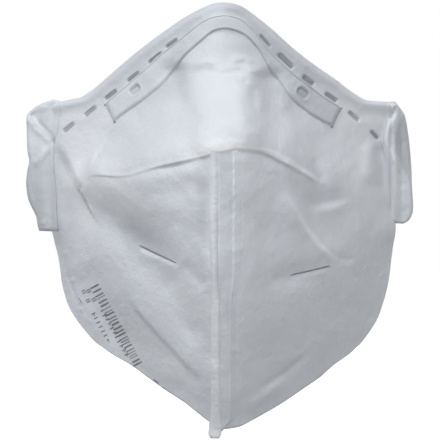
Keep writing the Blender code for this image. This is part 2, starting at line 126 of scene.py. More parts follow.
# ---------------------------------------------------------------- folds pressed into the shell
# height (below 0 for a valley), width left and right of the line as walked,
# share of the line that fades in and out, then the line as (x, z) points
FOLDS = (
    # hollows beside the snout and pinch wrinkles under the clip
    (-2.3, 3.6, 4.5, 0.2, 0.35, (-13.8, 132.1), (-14.9, 127.2), (-14.2, 120.9), (-10.3, 112.5)),
    (-2.9, 5.5, 4.2, 0.15, 0.35, (14.9, 130.0), (15.6, 122.3), (18.4, 113.9), (26.8, 104.1)),
    (1.3, 5.0, 2.6, 0.2, 0.2, (-7.9, 137.0), (-10.3, 131.4), (-11.0, 125.1), (-9.6, 118.8),
     (-5.4, 113.2), (-6.8, 107.6), (-11.7, 102.0)),
    (1.3, 2.6, 5.0, 0.2, 0.2, (12.1, 133.5), (13.1, 127.9), (9.6, 123.7), (6.8, 118.8),
     (7.5, 113.2), (11.4, 107.6), (15.6, 101.7)),
    (-1.5, 5.0, 6.0, 0.2, 0.2, (-6.8, 134.2), (-12.4, 124.8), (-21.5, 115.7), (-32.0, 108.0)),
    (-0.55, 0.9, 1.6, 0.3, 0.3, (-9.6, 127.2), (-5.1, 128.3), (0.9, 127.2), (7.2, 128.6),
     (12.8, 127.6)),
    (-0.4, 0.6, 1.0, 0.3, 0.3, (-1.9, 125.8), (3.0, 127.2), (8.6, 126.5)),
    (0.4, 0.7, 0.9, 0.3, 0.3, (2.3, 130.0), (7.9, 129.3), (14.9, 127.6)),
    (0.8, 1.2, 1.2, 0.3, 0.3, (-9.6, 130.0), (-4.0, 131.4), (0.2, 130.0)),
    (0.85, 1.2, 1.1, 0.3, 0.3, (3.0, 131.4), (8.2, 132.8), (13.1, 130.7)),
    (0.6, 1.4, 1.4, 0.3, 0.3, (-5.1, 124.4), (0.9, 125.5), (8.2, 123.7)),
    (-0.8, 1.5, 1.5, 0.2, 0.3, (7.2, 126.5), (11.4, 120.9), (12.8, 113.9)),
    # left, beside the facet by the hem
    (-0.7, 1.0, 3.2, 0.2, 0.3, (-57.9, 103.1), (-53.7, 95.7), (-49.2, 87.3)),
    (-0.65, 1.3, 1.1, 0.2, 0.2, (-36.2, 109.0), (-40.8, 101.7), (-43.6, 96.4), (-46.0, 91.2),
     (-48.8, 87.0)),
    # left, pleat down to the slit and on to the seam
    (-3.4, 6.2, 6.8, 0.30, 0.35, (-52.3, 88.7), (-48.8, 85.6), (-43.9, 80.7), (-37.6, 75.1),
     (-31.0, 68.8), (-24.7, 62.8), (-17.3, 56.9), (-8.2, 50.2)),
    (-0.2, 1.8, 1.8, 0.25, 0.35, (-49.2, 86.6), (-44.6, 82.1), (-39.0, 78.2), (-32.0, 74.0)),
    (0.9, 7.0, 8.0, 0.3, 0.3, (-51.6, 79.6), (-43.2, 71.9), (-32.7, 59.3), (-21.5, 43.9)),
    (-1.7, 5.5, 3.4, 0.2, 0.3, (-50.2, 61.4), (-43.9, 48.1), (-36.2, 36.9), (-24.3, 25.7)),
    (1.3, 6.0, 0.9, 0.25, 0.35, (-33.4, 51.6), (-24.3, 40.4), (-15.2, 30.6), (-6.8, 21.5),
     (-3.7, 14.5)),
    (-1.25, 4.2, 3.8, 0.2, 0.25, (-19.4, 57.9), (-15.2, 49.5), (-11.0, 40.4), (-5.4, 32.0)),
    (0.8, 4.0, 4.0, 0.2, 0.25, (-55.8, 84.5), (-53.7, 71.9), (-47.4, 53.0), (-37.6, 35.5)),
    # left, beside the seam under the nose
    (-0.9, 2.6, 2.6, 0.2, 0.2, (-13.8, 61.1), (-8.9, 57.9), (-4.4, 52.3)),
    (0.35, 1.9, 1.9, 0.2, 0.2, (-8.2, 70.5), (-6.1, 64.9), (-4.0, 61.4)),
    (-0.35, 2.0, 2.2, 0.3, 0.2, (-11.0, 91.5), (-7.5, 86.6), (-4.4, 84.5)),
    (0.7, 4.0, 4.0, 0.3, 0.3, (-30.3, 84.5), (-20.8, 81.0), (-10.3, 81.0)),
    (1.0, 3.2, 4.0, 0.2, 0.1, (-40.4, 88.7), (-29.2, 88.7), (-18.7, 91.2), (-4.4, 94.3)),
    (0.8, 2.4, 3.0, 0.3, 0.3, (-43.2, 90.8), (-35.5, 85.9), (-25.7, 80.3)),
    # right, crest down to the slit and notch by the end of the nose fold
    (1.7, 2.8, 7.6, 0.4, 0.25, (20.1, 89.4), (26.1, 80.7), (30.3, 74.0), (35.9, 67.7),
     (40.8, 63.9), (44.3, 61.8)),
    (-0.6, 1.4, 1.2, 0.35, 0.35, (40.1, 63.9), (44.3, 62.1), (47.8, 63.2)),
    (0.85, 0.8, 3.0, 0.25, 0.2, (22.2, 86.6), (26.4, 79.6), (30.3, 73.0), (34.5, 67.4),
     (38.3, 63.9), (41.1, 62.1)),
    (0.6, 0.8, 0.9, 0.3, 0.25, (28.2, 94.0), (29.9, 92.6), (31.5, 91.3), (33.1, 89.8)),
    (-1.1, 2.4, 1.0, 0.35, 0.25, (31.7, 99.2), (32.4, 96.4), (33.2, 94.0), (34.6, 90.8),
     (35.2, 88.7)),
    (0.55, 0.9, 1.1, 0.25, 0.15, (21.2, 97.8), (25.4, 95.4), (29.6, 92.4), (33.8, 88.7)),
    (-1.5, 3.2, 1.4, 0.3, 0.3, (28.9, 81.0), (37.3, 82.4), (45.7, 84.5)),
    (0.6, 1.0, 2.4, 0.3, 0.3, (31.3, 78.6), (37.3, 79.6), (44.6, 81.4)),
    (1.4, 3.4, 3.0, 0.3, 0.3, (52.3, 105.5), (52.7, 97.1), (52.0, 88.0)),
    (-1.4, 1.8, 1.8, 0.2, 0.3, (55.1, 104.1), (57.2, 94.3), (58.3, 83.1)),
    (0.35, 3.0, 4.0, 0.1, 0.2, (3.0, 97.5), (12.4, 96.4), (21.9, 92.6), (29.6, 87.7),
     (35.9, 85.2)),
    (-0.75, 0.8, 1.5, 0.2, 0.35, (12.8, 16.6), (22.6, 23.3), (33.1, 31.3)),
    (0.6, 2.4, 2.4, 0.2, 0.3, (9.3, 9.6), (14.9, 14.5), (22.9, 20.1)),
    (0.6, 4.0, 5.0, 0.3, 0.3, (45.7, 81.4), (47.8, 69.1), (49.9, 54.4)),
    # left, along the hem, and the weld line inside the lower edge
    (-1.1, 3.2, 2.0, 0.2, 0.2, (-56.9, 100.6), (-56.2, 88.0), (-55.5, 74.0)),
    (-0.35, 0.8, 0.8, 0.1, 0.3, (-56.5, 69.1), (-53.7, 57.9), (-50.2, 48.1), (-43.2, 39.0)),
)
# x, z, radius along and across, turn in degrees, height
LUMPS = (
    (-0.2, 112.5, 9.0, 13.0, 0, 1.7), (0.9, 131.4, 9.0, 6.5, 0, 1.2),
    (-26.4, 69.1, 10.5, 4.2, -36, -1.6), (-23.6, 78.9, 17.0, 8.0, -16, 1.15),
    (-55.8, 85.2, 3.6, 9.0, 0, -2.3), (-8.9, 78.2, 5.0, 15.0, 8, 1.1),
    (25.4, 56.9, 8.0, 3.6, 12, -1.7), (46.4, 48.1, 12.0, 18.0, 20, 1.0),
    (43.6, 62.8, 9.0, 12.0, 25, 1.3), (15.9, 37.6, 11.0, 24.0, -10, 0.7),
    # small bumps by the lower edge
    *((x, z, 0.9, 0.7, 40, 0.55)
      for x, z in ((-54.1, 64.2), (-51.3, 54.8), (-48.8, 47.1), (-48.1, 44.6), (56.5, 56.2))),
)
# lips under the two pressed slits: height, width below, line of the slit
SLIT_LIPS = (
    (0.85, 2.8, (-28.2, 67.0), (-21.2, 63.9), (-14.2, 60.9)),
    (0.40, 1.8, (23.6, 56.5), (31.0, 58.1), (38.7, 59.8)),
)
LIP_DROP = 0.75
LEFT_FACET = ((-57.9, 103.8), (-53.7, 95.7), (-49.2, 87.3))
CRUMPLE = ((0.42, 14.0, 3), (0.24, 7.0, 5), (0.13, 3.4, 8), (0.05, 1.6, 13))

# dash slots beside the nose clip: x, z, turn in degrees, length, width
DASHES = (
    (-52.8, 109.0, 40, 4.6, 1.5), (-45.1, 114.6, 39, 5.0, 1.45), (-37.8, 120.4, 37, 5.0, 1.5),
    (-29.9, 126.5, 38, 5.0, 1.5), (-22.2, 133.0, 38, 5.6, 1.5), (-16.6, 138.1, 36, 4.6, 1.2),
    (15.7, 138.9, -49, 5.4, 1.1), (22.8, 132.0, -43, 7.0, 1.9), (30.6, 125.3, -36, 4.9, 1.9),
    (38.7, 119.5, -35, 5.0, 1.6), (46.7, 112.9, -41, 4.8, 1.5), (54.1, 106.4, -48, 3.9, 1.4),
)

# painted shade on the shell (columns as in FOLDS and LUMPS, height is the amount)
SHADE_FOLDS = (
    (0.07, 4.0, 4.0, 0.3, 0.3, (-40.4, 77.5), (-31.0, 68.1), (-20.8, 59.3), (-8.2, 49.5)),
    (0.20, 4.0, 4.5, 0.25, 0.3, (-12.4, 132.8), (-15.2, 127.9), (-17.3, 121.6), (-18.0, 114.6)),
)
SHADE_LUMPS = (
    (-24.3, 120.9, 14.0, 7.0, 42, 0.14), (24.0, 128.6, 12.0, 6.0, -42, 0.14),
    (-18.7, 62.8, 12.0, 7.0, -30, 0.07), (11.4, 141.6, 3.6, 2.4, -45, 0.20),
    (18.4, 134.9, 3.4, 2.2, -45, 0.20), (-5.4, 81.4, 2.6, 16.0, 0, 0.30),
    (25.7, 90.1, 6.0, 3.2, -28, 0.11), (19.8, 120.2, 5.0, 8.0, 30, 0.22),
    (-23.6, 58.6, 8.0, 6.0, -30, 0.12), (-7.9, 78.9, 4.0, 8.0, 5, 0.14),
    (-10.3, 58.6, 4.0, 7.0, 5, 0.10), (-30.6, 65.6, 5.0, 4.0, -30, 0.15),
    (-14.5, 41.1, 4.5, 8.5, 30, 0.03), (-53.7, 71.2, 3.6, 9.0, 0, 0.14),
    (5.8, 149.6, 5.0, 2.4, 0, 0.22), (5.1, 136.0, 12.0, 4.2, 0, 0.20),
    (12.8, 69.8, 6.0, 26.0, 0, 0.09), (-10.7, 143.3, 3.6, 2.6, 30, 0.16),
    (5.1, 143.0, 7.0, 2.4, -10, 0.14), (10.7, 135.6, 6.0, 3.0, -30, 0.10),
    (-24.3, 128.6, 4.0, 3.0, 35, 0.12), (24.3, 123.7, 3.6, 5.0, 0, 0.14),
)
# painted light on the shell: highlights on crests and lips, and lightening over shaded crease
# lines
PAINTED_LIGHT_FOLDS = (
    (0.85, 0.65, 0.85, 0.5, 0.15, (22.2, 86.6), (26.6, 79.6), (30.4, 72.8), (34.6, 67.4),
     (38.3, 64.0), (41.5, 61.9)),
    (0.5, 0.6, 0.6, 0.2, 0.1, (12.8, 101.8), (17.7, 100.3), (24.7, 96.8), (29.2, 93.8),
     (32.4, 91.5), (34.5, 89.4)),
    (0.7, 0.9, 0.9, 0.2, 0.15, (20.5, 97.5), (24.7, 95.2), (28.2, 93.1), (31.7, 90.8)),
    (0.60, 0.5, 0.9, 0.1, 0.1, (-28.2, 66.1), (-21.2, 63.0), (-13.8, 59.9)),
    (0.30, 0.5, 0.9, 0.1, 0.1, (23.6, 55.6), (31.0, 57.2), (39.0, 59.0)),
)
PAINTED_LIGHT_LUMPS = (
    (32.2, 91.5, 1.3, 0.8, -50, 0.5), (5.4, 100.8, 6.0, 1.1, -3, 0.75),
    (-1.6, 103.1, 8.5, 2.8, 4, 0.85), (-48.1, 102.0, 8.0, 9.0, 0, 0.42),
    (-37.6, 94.7, 7.0, 3.0, 0, 0.35), (47.1, 104.1, 5.0, 8.0, 15, 0.36),
    (39.7, 61.4, 4.5, 4.5, 0, 0.34), (39.7, 113.6, 5.0, 3.0, -35, 0.45),
    (-50.9, 92.6, 2.8, 6.0, -15, 0.5), (-36.2, 85.6, 12.0, 5.0, -8, 0.42),
    (-27.1, 80.0, 8.0, 4.0, -20, 0.32), (-11.7, 50.9, 4.0, 7.0, 25, 0.40),
    (-14.5, 27.8, 6.0, 5.0, 0, 0.45), (-45.3, 78.9, 5.0, 6.0, 0, 0.40),
    (-38.3, 113.9, 6.5, 4.0, 30, 0.45), (-51.6, 113.9, 5.0, 3.0, 20, 0.35),
    (52.0, 114.3, 4.5, 3.0, 0, 0.40),
)


# ---------------------------------------------------------------- curves and fields
def smooth(start, end, value):
    share = np.clip((np.asarray(value, float) - start) / (end - start), 0.0, 1.0)
    return share * share * (3 - 2 * share)


def bell(distance, width):
    return np.exp(-((distance / width) ** 2))


def monotone(knots, x):
    """Monotone cubic through the knots."""
    knot_x, knot_z = np.array(knots, float).T
    step = np.diff(knot_x)
    rise = np.diff(knot_z) / step
    slope = np.zeros(len(knot_x))
    slope[0], slope[-1] = rise[0], rise[-1]
    for i in range(1, len(knot_x) - 1):
        if rise[i - 1] * rise[i] > 0:
            slope[i] = 2 * rise[i - 1] * rise[i] / (rise[i - 1] + rise[i])
    x = np.clip(np.asarray(x, float), knot_x[0], knot_x[-1])
    i = np.clip(np.searchsorted(knot_x, x, side="right") - 1, 0, len(step) - 1)
    s = (x - knot_x[i]) / step[i]
    return (
        (2 * s**3 - 3 * s**2 + 1) * knot_z[i]
        + (s**3 - 2 * s**2 + s) * step[i] * slope[i]
        + (-2 * s**3 + 3 * s**2) * knot_z[i + 1]
        + (s**3 - s**2) * step[i] * slope[i + 1]
    )


def resample(line, count):
    """Catmull-Rom through a line, as evenly spaced points."""
    knots = np.array(line, float)
    knots = np.vstack([2 * knots[0] - knots[1], knots, 2 * knots[-1] - knots[-2]])
    points = []
    for p0, p1, p2, p3 in zip(knots, knots[1:], knots[2:], knots[3:]):
        for t in np.linspace(0, 1, 16, endpoint=False):
            square = (2 * p0 - 5 * p1 + 4 * p2 - p3) * t * t
            cube = (-p0 + 3 * p1 - 3 * p2 + p3) * t**3
            points.append(0.5 * (2 * p1 + (-p0 + p2) * t + square + cube))
    points.append(knots[-2])
    points = np.array(points)
    run = np.concatenate([[0], np.cumsum(np.hypot(*np.diff(points, axis=0).T))])
    even = np.linspace(0, run[-1], count)
    return np.stack([np.interp(even, run, points[:, 0]), np.interp(even, run, points[:, 1])], -1)


def line_field(line, x, z):
    """Signed distance to a line (positive on its left as walked) and share of its length."""
    points = np.array(line, float)
    best = np.full(x.shape, 1e9)
    sign = np.ones(x.shape)
    along = np.zeros(x.shape)
    lengths = np.hypot(*np.diff(points, axis=0).T)
    run = 0.0
    for (x0, z0), (x1, z1), length in zip(points[:-1], points[1:], lengths):
        dir_x, dir_z = (x1 - x0) / length, (z1 - z0) / length
        t = np.clip((x - x0) * dir_x + (z - z0) * dir_z, 0, length)
        off_x, off_z = x - (x0 + t * dir_x), z - (z0 + t * dir_z)
        distance = np.hypot(off_x, off_z)
        near = distance < best
        best = np.where(near, distance, best)
        sign = np.where(near, np.where(dir_x * off_z - dir_z * off_x >= 0, 1.0, -1.0), sign)
        along = np.where(near, (run + t) / lengths.sum(), along)
        run += length
    return best * sign, along


def fold(x, z, height, left, right, fade_in, fade_out, line):
    """Crest or valley along a line, with its own width on each side."""
    distance, along = line_field(line, x, z)
    shape = height * bell(distance, np.where(distance >= 0, left, right))
    if fade_in > 0:
        shape = shape * smooth(0.0, fade_in, along)
    if fade_out > 0:
        shape = shape * smooth(0.0, fade_out, 1 - along)
    return shape


def turned(x, z, centre_x, centre_z, angle):
    """Distances from a centre along and across a direction given in degrees."""
    c, s = math.cos(math.radians(angle)), math.sin(math.radians(angle))
    off_x, off_z = x - centre_x, z - centre_z
    return off_x * c + off_z * s, -off_x * s + off_z * c


def lump(x, z, centre_x, centre_z, radius_along, radius_across, angle, height):
    along, across = turned(x, z, centre_x, centre_z, angle)
    return height * np.exp(-((along / radius_along) ** 2 + (across / radius_across) ** 2))


def sum_folds(x, z, rows):
    return sum(fold(x, z, *row[:5], row[5:]) for row in rows)


def sum_lumps(x, z, rows):
    return sum(lump(x, z, *row) for row in rows)


def box_mask(x, z, boxes, edge, grow=0.0):
    """1 inside any of the rounded boxes (rows as in DASHES), 0 outside."""
    masks = []
    for centre_x, centre_z, angle, length, width in boxes:
        along, across = turned(x, z, centre_x, centre_z, angle)
        length, width = length + grow, width + grow
        corner = 0.42 * min(length, width)
        u = np.abs(along) - length / 2 + corner
        v = np.abs(across) - width / 2 + corner
        outside = np.hypot(np.maximum(u, 0), np.maximum(v, 0))
        distance = outside + np.minimum(np.maximum(u, v), 0) - corner
        masks.append(1 - smooth(-edge, edge, distance))
    return np.maximum.reduce(masks)


def inside(outline, x, z):
    """Signed distance to a closed outline, positive inside."""
    points = list(outline) + [outline[0]]
    distance, _ = line_field(points, x, z)
    hit = np.zeros(x.shape, bool)
    for (x0, z0), (x1, z1) in zip(points[:-1], points[1:]):
        height = 1e-9 if abs(z1 - z0) < 1e-9 else z1 - z0
        hit ^= ((z0 > z) != (z1 > z)) & (x < (x1 - x0) * (z - z0) / height + x0)
    return np.where(hit, np.abs(distance), -np.abs(distance))


def value_noise(x, z, scale, seed):
    """Smooth noise from a seeded lattice."""
    size = 96
    lattice = np.random.default_rng(seed).uniform(-1, 1, (size, size))
    u, v = x / scale + 40.37, z / scale + 11.71
    i, j = np.floor(u).astype(int), np.floor(v).astype(int)
    u, v = u - i, v - j
    u, v = u * u * (3 - 2 * u), v * v * (3 - 2 * v)
    i, j, next_i, next_j = i % size, j % size, (i + 1) % size, (j + 1) % size
    low = lattice[i, j] * (1 - u) + lattice[next_i, j] * u
    high = lattice[i, next_j] * (1 - u) + lattice[next_i, next_j] * u
    return low * (1 - v) + high * v


def layered_noise(x, z, *layers):
    """Sum of noises given as (amount, scale, seed)."""
    return sum(amount * value_noise(x, z, scale, seed) for amount, scale, seed in layers)


def neighbours(grid):
    padded = np.pad(grid, 1, mode="edge")
    return padded[:-2, 1:-1], padded[2:, 1:-1], padded[1:-1, :-2], padded[1:-1, 2:]


def blur(grid, times):
    for _ in range(times):
        grid = (sum(neighbours(grid)) + 2 * grid) / 6
    return grid


def min_filter(grid, times):
    for _ in range(times):
        grid = np.minimum.reduce([*neighbours(grid), grid])
    return grid


def from_ends(count):
    """Number of steps to the nearer end."""
    return np.minimum(np.arange(count), np.arange(count)[::-1])


# ---------------------------------------------------------------- form of the shell
def landmarks(x):
    """Heights of the lower edge, crease, clip lower and upper lines, and top edge."""
    low = monotone(LOW, x)
    crease = np.maximum(monotone(CREASE, x), low + 8)
    clip_low = np.maximum(monotone(CLIP_LOW, x), crease + 6)
    clip_high = np.maximum(monotone(CLIP_HIGH, x), crease + 10)
    return low, crease, clip_low, clip_high, monotone(TOP, x)


CENTRE_MARKS = [float(v) for v in landmarks(np.array(0.6))]


def seam_height(x, z):
    """Height on the centre line that matches a place between the same landmarks."""
    marks = landmarks(x)
    height = None
    for i in range(4):
        share = (z - marks[i]) / (marks[i + 1] - marks[i])
        band = CENTRE_MARKS[i] + share * (CENTRE_MARKS[i + 1] - CENTRE_MARKS[i])
        height = np.where(z > marks[i], band, height) if i else band
    return height


def base_depth(x, z):
    """Depth of the unfolded form."""
    half = np.where(x < 0, -EDGE_L, EDGE_R)
    off = np.abs(x)
    share = np.clip(off / half, 0, 1.02)
    seam = seam_height(x, z)
    right = x > 0
    # sharpness of the nose panel, then of the panel under it, blended by height
    side = np.where(right, smooth(0.34, 0.60, share), smooth(0.40, 0.80, share))
    nose = SHARP_NOSE + np.where(right, 0.05, 0.06) * (1 - smooth(99.0, 114.0, seam))
    nose = nose + (SHARP_MID - nose) * side
    low = SHARP_LOW + (SHARP_MID - SHARP_LOW) * smooth(5.0, 45.0, seam)
    easing = np.where(right, 0.24, 0.22 + 0.13 * smooth(0.22, 0.42, share))
    reach = np.where(right, smooth(0.36, 0.60, share), smooth(0.42, 0.74, share))
    low = low - easing * smooth(66.0, 97.0, seam) * (1 - reach)
    low = low - np.where(right, 0.05, 0.06) * smooth(84.0, 98.5, seam) * (1 - side)
    crease = CENTRE_MARKS[1]
    sharp = low + (nose - low) * smooth(crease - 0.8, crease + 2.0, seam)
    sharp = sharp + (SHARP_TOP - sharp) * smooth(122.0, 148.0, seam)
    straight = (np.sqrt(off * off + ROUND**2) - ROUND) / (np.sqrt(half**2 + ROUND**2) - ROUND)
    keep = 1.0 - (sharp * straight + (1 - sharp) * share * share)
    # how much of the soft centre line is used
    soft_right = np.maximum(smooth(0.50, 0.78, share), 0.5 * smooth(0.12, 0.36, share))
    soft = np.where(right, soft_right, 0.35 * smooth(0.80, 0.95, share))
    return (monotone(SEAM_DEPTH, seam) * (1 - soft) + monotone(SEAM_SOFT, seam) * soft) * keep


def folds(x, z):
    """Everything that folding and packing have pressed into the shell, forward positive."""
    total = sum_folds(x, z, FOLDS) + sum_lumps(x, z, LUMPS) + layered_noise(x, z, *CRUMPLE)
    for rise, reach, *slit in SLIT_LIPS:
        lip = [(slit_x, slit_z - LIP_DROP) for slit_x, slit_z in slit]
        total += fold(x, z, rise, 0.5, reach, 0.2, 0.2, lip)
    # facet between the left hem and the nose panel
    distance, _ = line_field(LEFT_FACET, x, z)
    pull = smooth(0, 24, 111.8 - z) * smooth(72.0, 90.0, z) * (1 - smooth(-45.0, -33.0, x))
    total += 3.6 * smooth(-1.4, 2.2, distance) * pull
    # swelling around the left part of the crease
    _, crease, clip_low, _, _ = landmarks(x)
    across = smooth(-47, -40, x) * (1 - smooth(-26, -8, x))
    above = np.clip(1 - (z - crease) / (clip_low - crease), 0, 1)
    return total + 1.7 * across * np.where(z > crease, above, bell(crease - z, 18.0))


def hem_band(x, z):
    """Edge roll and pressed hem along the top."""
    stations = np.linspace(-60, 60, 241)
    slope = np.gradient(monotone(TOP, stations), 0.5)
    inward = (monotone(TOP, x) - z) * np.interp(x, stations, np.cos(np.arctan(np.abs(slope))))
    roll = 0.55 * bell(inward - 1.6, 1.4) - 1.3 * bell(inward, 0.7)
    return roll - 0.5 * bell(inward - 5.2, 2.2) * smooth(12, 22, np.abs(x))


def depth(x, z):
    """Depth of the outer face, before the slots are recessed."""
    x, z = np.asarray(x, float), np.asarray(z, float)
    hold = smooth(0.0, 6.0, np.minimum(np.abs(x - EDGE_L), np.abs(x - EDGE_R)))
    return base_depth(x, z) + folds(x, z) * (0.25 + 0.75 * hold) + hem_band(x, z) + FACE_LIFT


def droop(x, z):
    """Vertical shift that makes the lower edge of the nose panel overhang."""
    lower, raise_ = -0.4, 0.1
    band = 1.8
    above = z - landmarks(x)[1]
    amount = smooth(-46.0, -38.0, x) * (1 - smooth(24.0, 34.0, x))
    amount = amount * (0.25 + 0.75 * (1 - smooth(-6.0, 14.0, x)))
    shift = np.where(above > band, lower * (1 - smooth(band, 13.0, above)),
                     raise_ + (lower - raise_) * smooth(0.0, band, above))
    return np.where(above <= 0, raise_ * (1 - smooth(0.0, 7.0, -above)), shift) * amount


def points(x, y, z):
    return np.stack([x, y, z], -1)


def lifted(x, z, surface, slope_form, step, steepest, lift):
    """Points on a surface, lifted along the normal of the form that gives the slopes."""
    slope_x = (slope_form(x + step, z) - slope_form(x - step, z)) / (2 * step)
    slope_z = (slope_form(x, z + step) - slope_form(x, z - step)) / (2 * step)
    slope_z = np.clip(slope_z, -steepest, steepest)
    out = lift / np.sqrt(1 + slope_x**2 + slope_z**2)
    return points(x - slope_x * out, SIDE_Y - surface - out, z - slope_z * out)


def stretched(grid):
    """Points in mm, widened to the measured size and turned into metres."""
    grid = np.array(grid, float)
    x, z = grid[..., 0], grid[..., 2]
    corner = 1.4 * smooth(50.0, 60.4, x) * bell(z - 73.5, 6.0)
    grid[..., 0] = x * 1.014 + 0.2 + corner
    return grid * MM


# ---------------------------------------------------------------- mesh builders
def make_object(mesh, materials, attributes=None, face_slots=None):
    mesh.validate()
    mesh.polygons.foreach_set("use_smooth", np.ones(len(mesh.polygons), bool))
    for material in materials:
        mesh.materials.append(material)
    if face_slots is not None:
        mesh.polygons.foreach_set("material_index", np.asarray(face_slots, np.int32))
    for key, values in (attributes or {}).items():
        attribute = mesh.attributes.new(key, "FLOAT", "POINT")
        attribute.data.foreach_set("value", np.asarray(values, np.float32).ravel())
    made = bpy.data.objects.new(mesh.name, mesh)
    bpy.context.scene.collection.objects.link(made)
    return made


def quad_mesh(name, vertices, quads, materials, attributes=None, face_slots=None):
    mesh = bpy.data.meshes.new(name)
    vertices = np.asarray(vertices, np.float32).reshape(-1, 3)
    quads = np.asarray(quads, np.int32)
    mesh.vertices.add(len(vertices))
    mesh.vertices.foreach_set("co", vertices.ravel())
    mesh.loops.add(quads.size)
    mesh.loops.foreach_set("vertex_index", quads.ravel())
    mesh.polygons.add(len(quads))
    mesh.polygons.foreach_set("loop_start", np.arange(0, quads.size, 4, dtype=np.int32))
    mesh.polygons.foreach_set("loop_total", np.full(len(quads), 4, np.int32))
    mesh.update(calc_edges=True)
    return make_object(mesh, materials, attributes, face_slots)


def closed_sheet(name, front, back, materials, attributes=None, rim_slot=0, back_slot=0):
    """Two matching grids joined round their rim; i runs along +X and j along +Z."""
    columns, rows = front.shape[:2]
    count = columns * rows
    index = np.arange(count).reshape(columns, rows)
    corners = [index[:-1, :-1], index[1:, :-1], index[1:, 1:], index[:-1, 1:]]
    front_quads = np.stack(corners, -1).reshape(-1, 4)
    back_quads = front_quads[:, ::-1] + count
    loop = np.concatenate([index[:, 0], index[-1, 1:], index[-2::-1, -1], index[0, -2:0:-1]])
    ahead = np.roll(loop, -1)
    rim = np.stack([ahead, loop, loop + count, ahead + count], -1)
    slots = np.repeat([0, back_slot, rim_slot], [len(front_quads), len(back_quads), len(rim)])
    full = {key: np.concatenate([values.ravel(), np.zeros(count)])
            for key, values in (attributes or {}).items()}
    vertices = np.concatenate([front.reshape(-1, 3), back.reshape(-1, 3)])
    quads = np.concatenate([front_quads, back_quads, rim])
    return quad_mesh(name, vertices, quads, materials, full, slots)


def capped_tube(name, rings, materials, attributes):
    """Closed tube from rings (ring, point, xyz), each end capped by a fan."""
    ring_count, sides = rings.shape[:2]
    vertices = [*rings.reshape(-1, 3), rings[0].mean(0), rings[-1].mean(0)]
    faces = []
    for i in range(ring_count - 1):
        for j in range(sides):
            a, b = i * sides + j, i * sides + (j + 1) % sides
            faces.append((a, b, b + sides, a + sides))
    centre = ring_count * sides
    last = centre - sides
    faces += [(centre, (j + 1) % sides, j) for j in range(sides)]
    faces += [(centre + 1, last + j, last + (j + 1) % sides) for j in range(sides)]
    mesh = bpy.data.meshes.new(name)
    mesh.from_pydata([tuple(float(v) for v in vertex) for vertex in vertices], [], faces)
    full = {key: np.append(values.ravel(), (0, 0)) for key, values in attributes.items()}
    return make_object(mesh, materials, full)


# ---------------------------------------------------------------- materials
class Nodes:
    """Node tree of a material or world, with short calls to add and wire nodes."""

    def __init__(self, owner):
        owner.use_nodes = True
        self.owner = owner
        self.tree = owner.node_tree

    def fill(self, node, inputs):
        """Link or set inputs; colours may leave out their alpha of 1."""
        for key, value in inputs.items():
            socket = node.inputs[key]
            if isinstance(value, bpy.types.NodeSocket):
                self.tree.links.new(value, socket)
            elif socket.type == "RGBA":
                socket.default_value = (*value, 1.0)
            else:
                socket.default_value = value

    def add(self, kind, inputs=None):
        node = self.tree.nodes.new("ShaderNode" + kind)
        self.fill(node, inputs or {})
        return node

    def math(self, operation, *values):
        node = self.add("Math", dict(enumerate(values)))
        node.operation = operation
        return node.outputs[0]

    def mix(self, factor, low, high):
        node = self.add("Mix")
        node.data_type = "RGBA"
        self.fill(node, {"Factor": factor, "A": low, "B": high})
        return node.outputs["Result"]

    def ramp(self, value, start, end):
        """Black at start to white at end."""
        node = self.add("ValToRGB", {0: value})
        elements = node.color_ramp.elements
        elements[0].position = start
        elements[1].position = end
        return node.outputs[0]

    def noise(self, vector, scale, detail, roughness):
        inputs = {"Vector": vector, "Scale": scale, "Detail": detail, "Roughness": roughness}
        return self.add("TexNoise", inputs).outputs["Fac"]

    def attribute(self, name):
        node = self.add("Attribute")
        node.attribute_name = name
        return node.outputs["Fac"]

    def bump(self, height, strength, distance):
        inputs = {"Strength": strength, "Distance": distance, "Height": height}
        return self.add("Bump", inputs).outputs[0]


def new_material(name):
    nodes = Nodes(bpy.data.materials.new(name))
    return nodes, nodes.tree.nodes["Principled BSDF"]


# turn about Y, noise scale and stretch of the three layers of fibres
FIBRE_LAYERS = ((0.5, 1980.0, 9.0), (-0.9, 1804.0, 8.0), (1.35, 2200.0, 10.0))
BOND_PITCH = 0.0013
BOND_TURN = math.radians(32)
# white mixed in as painted highlight
PAINTED_LIGHT_WHITE = (0.98, 0.985, 0.99)


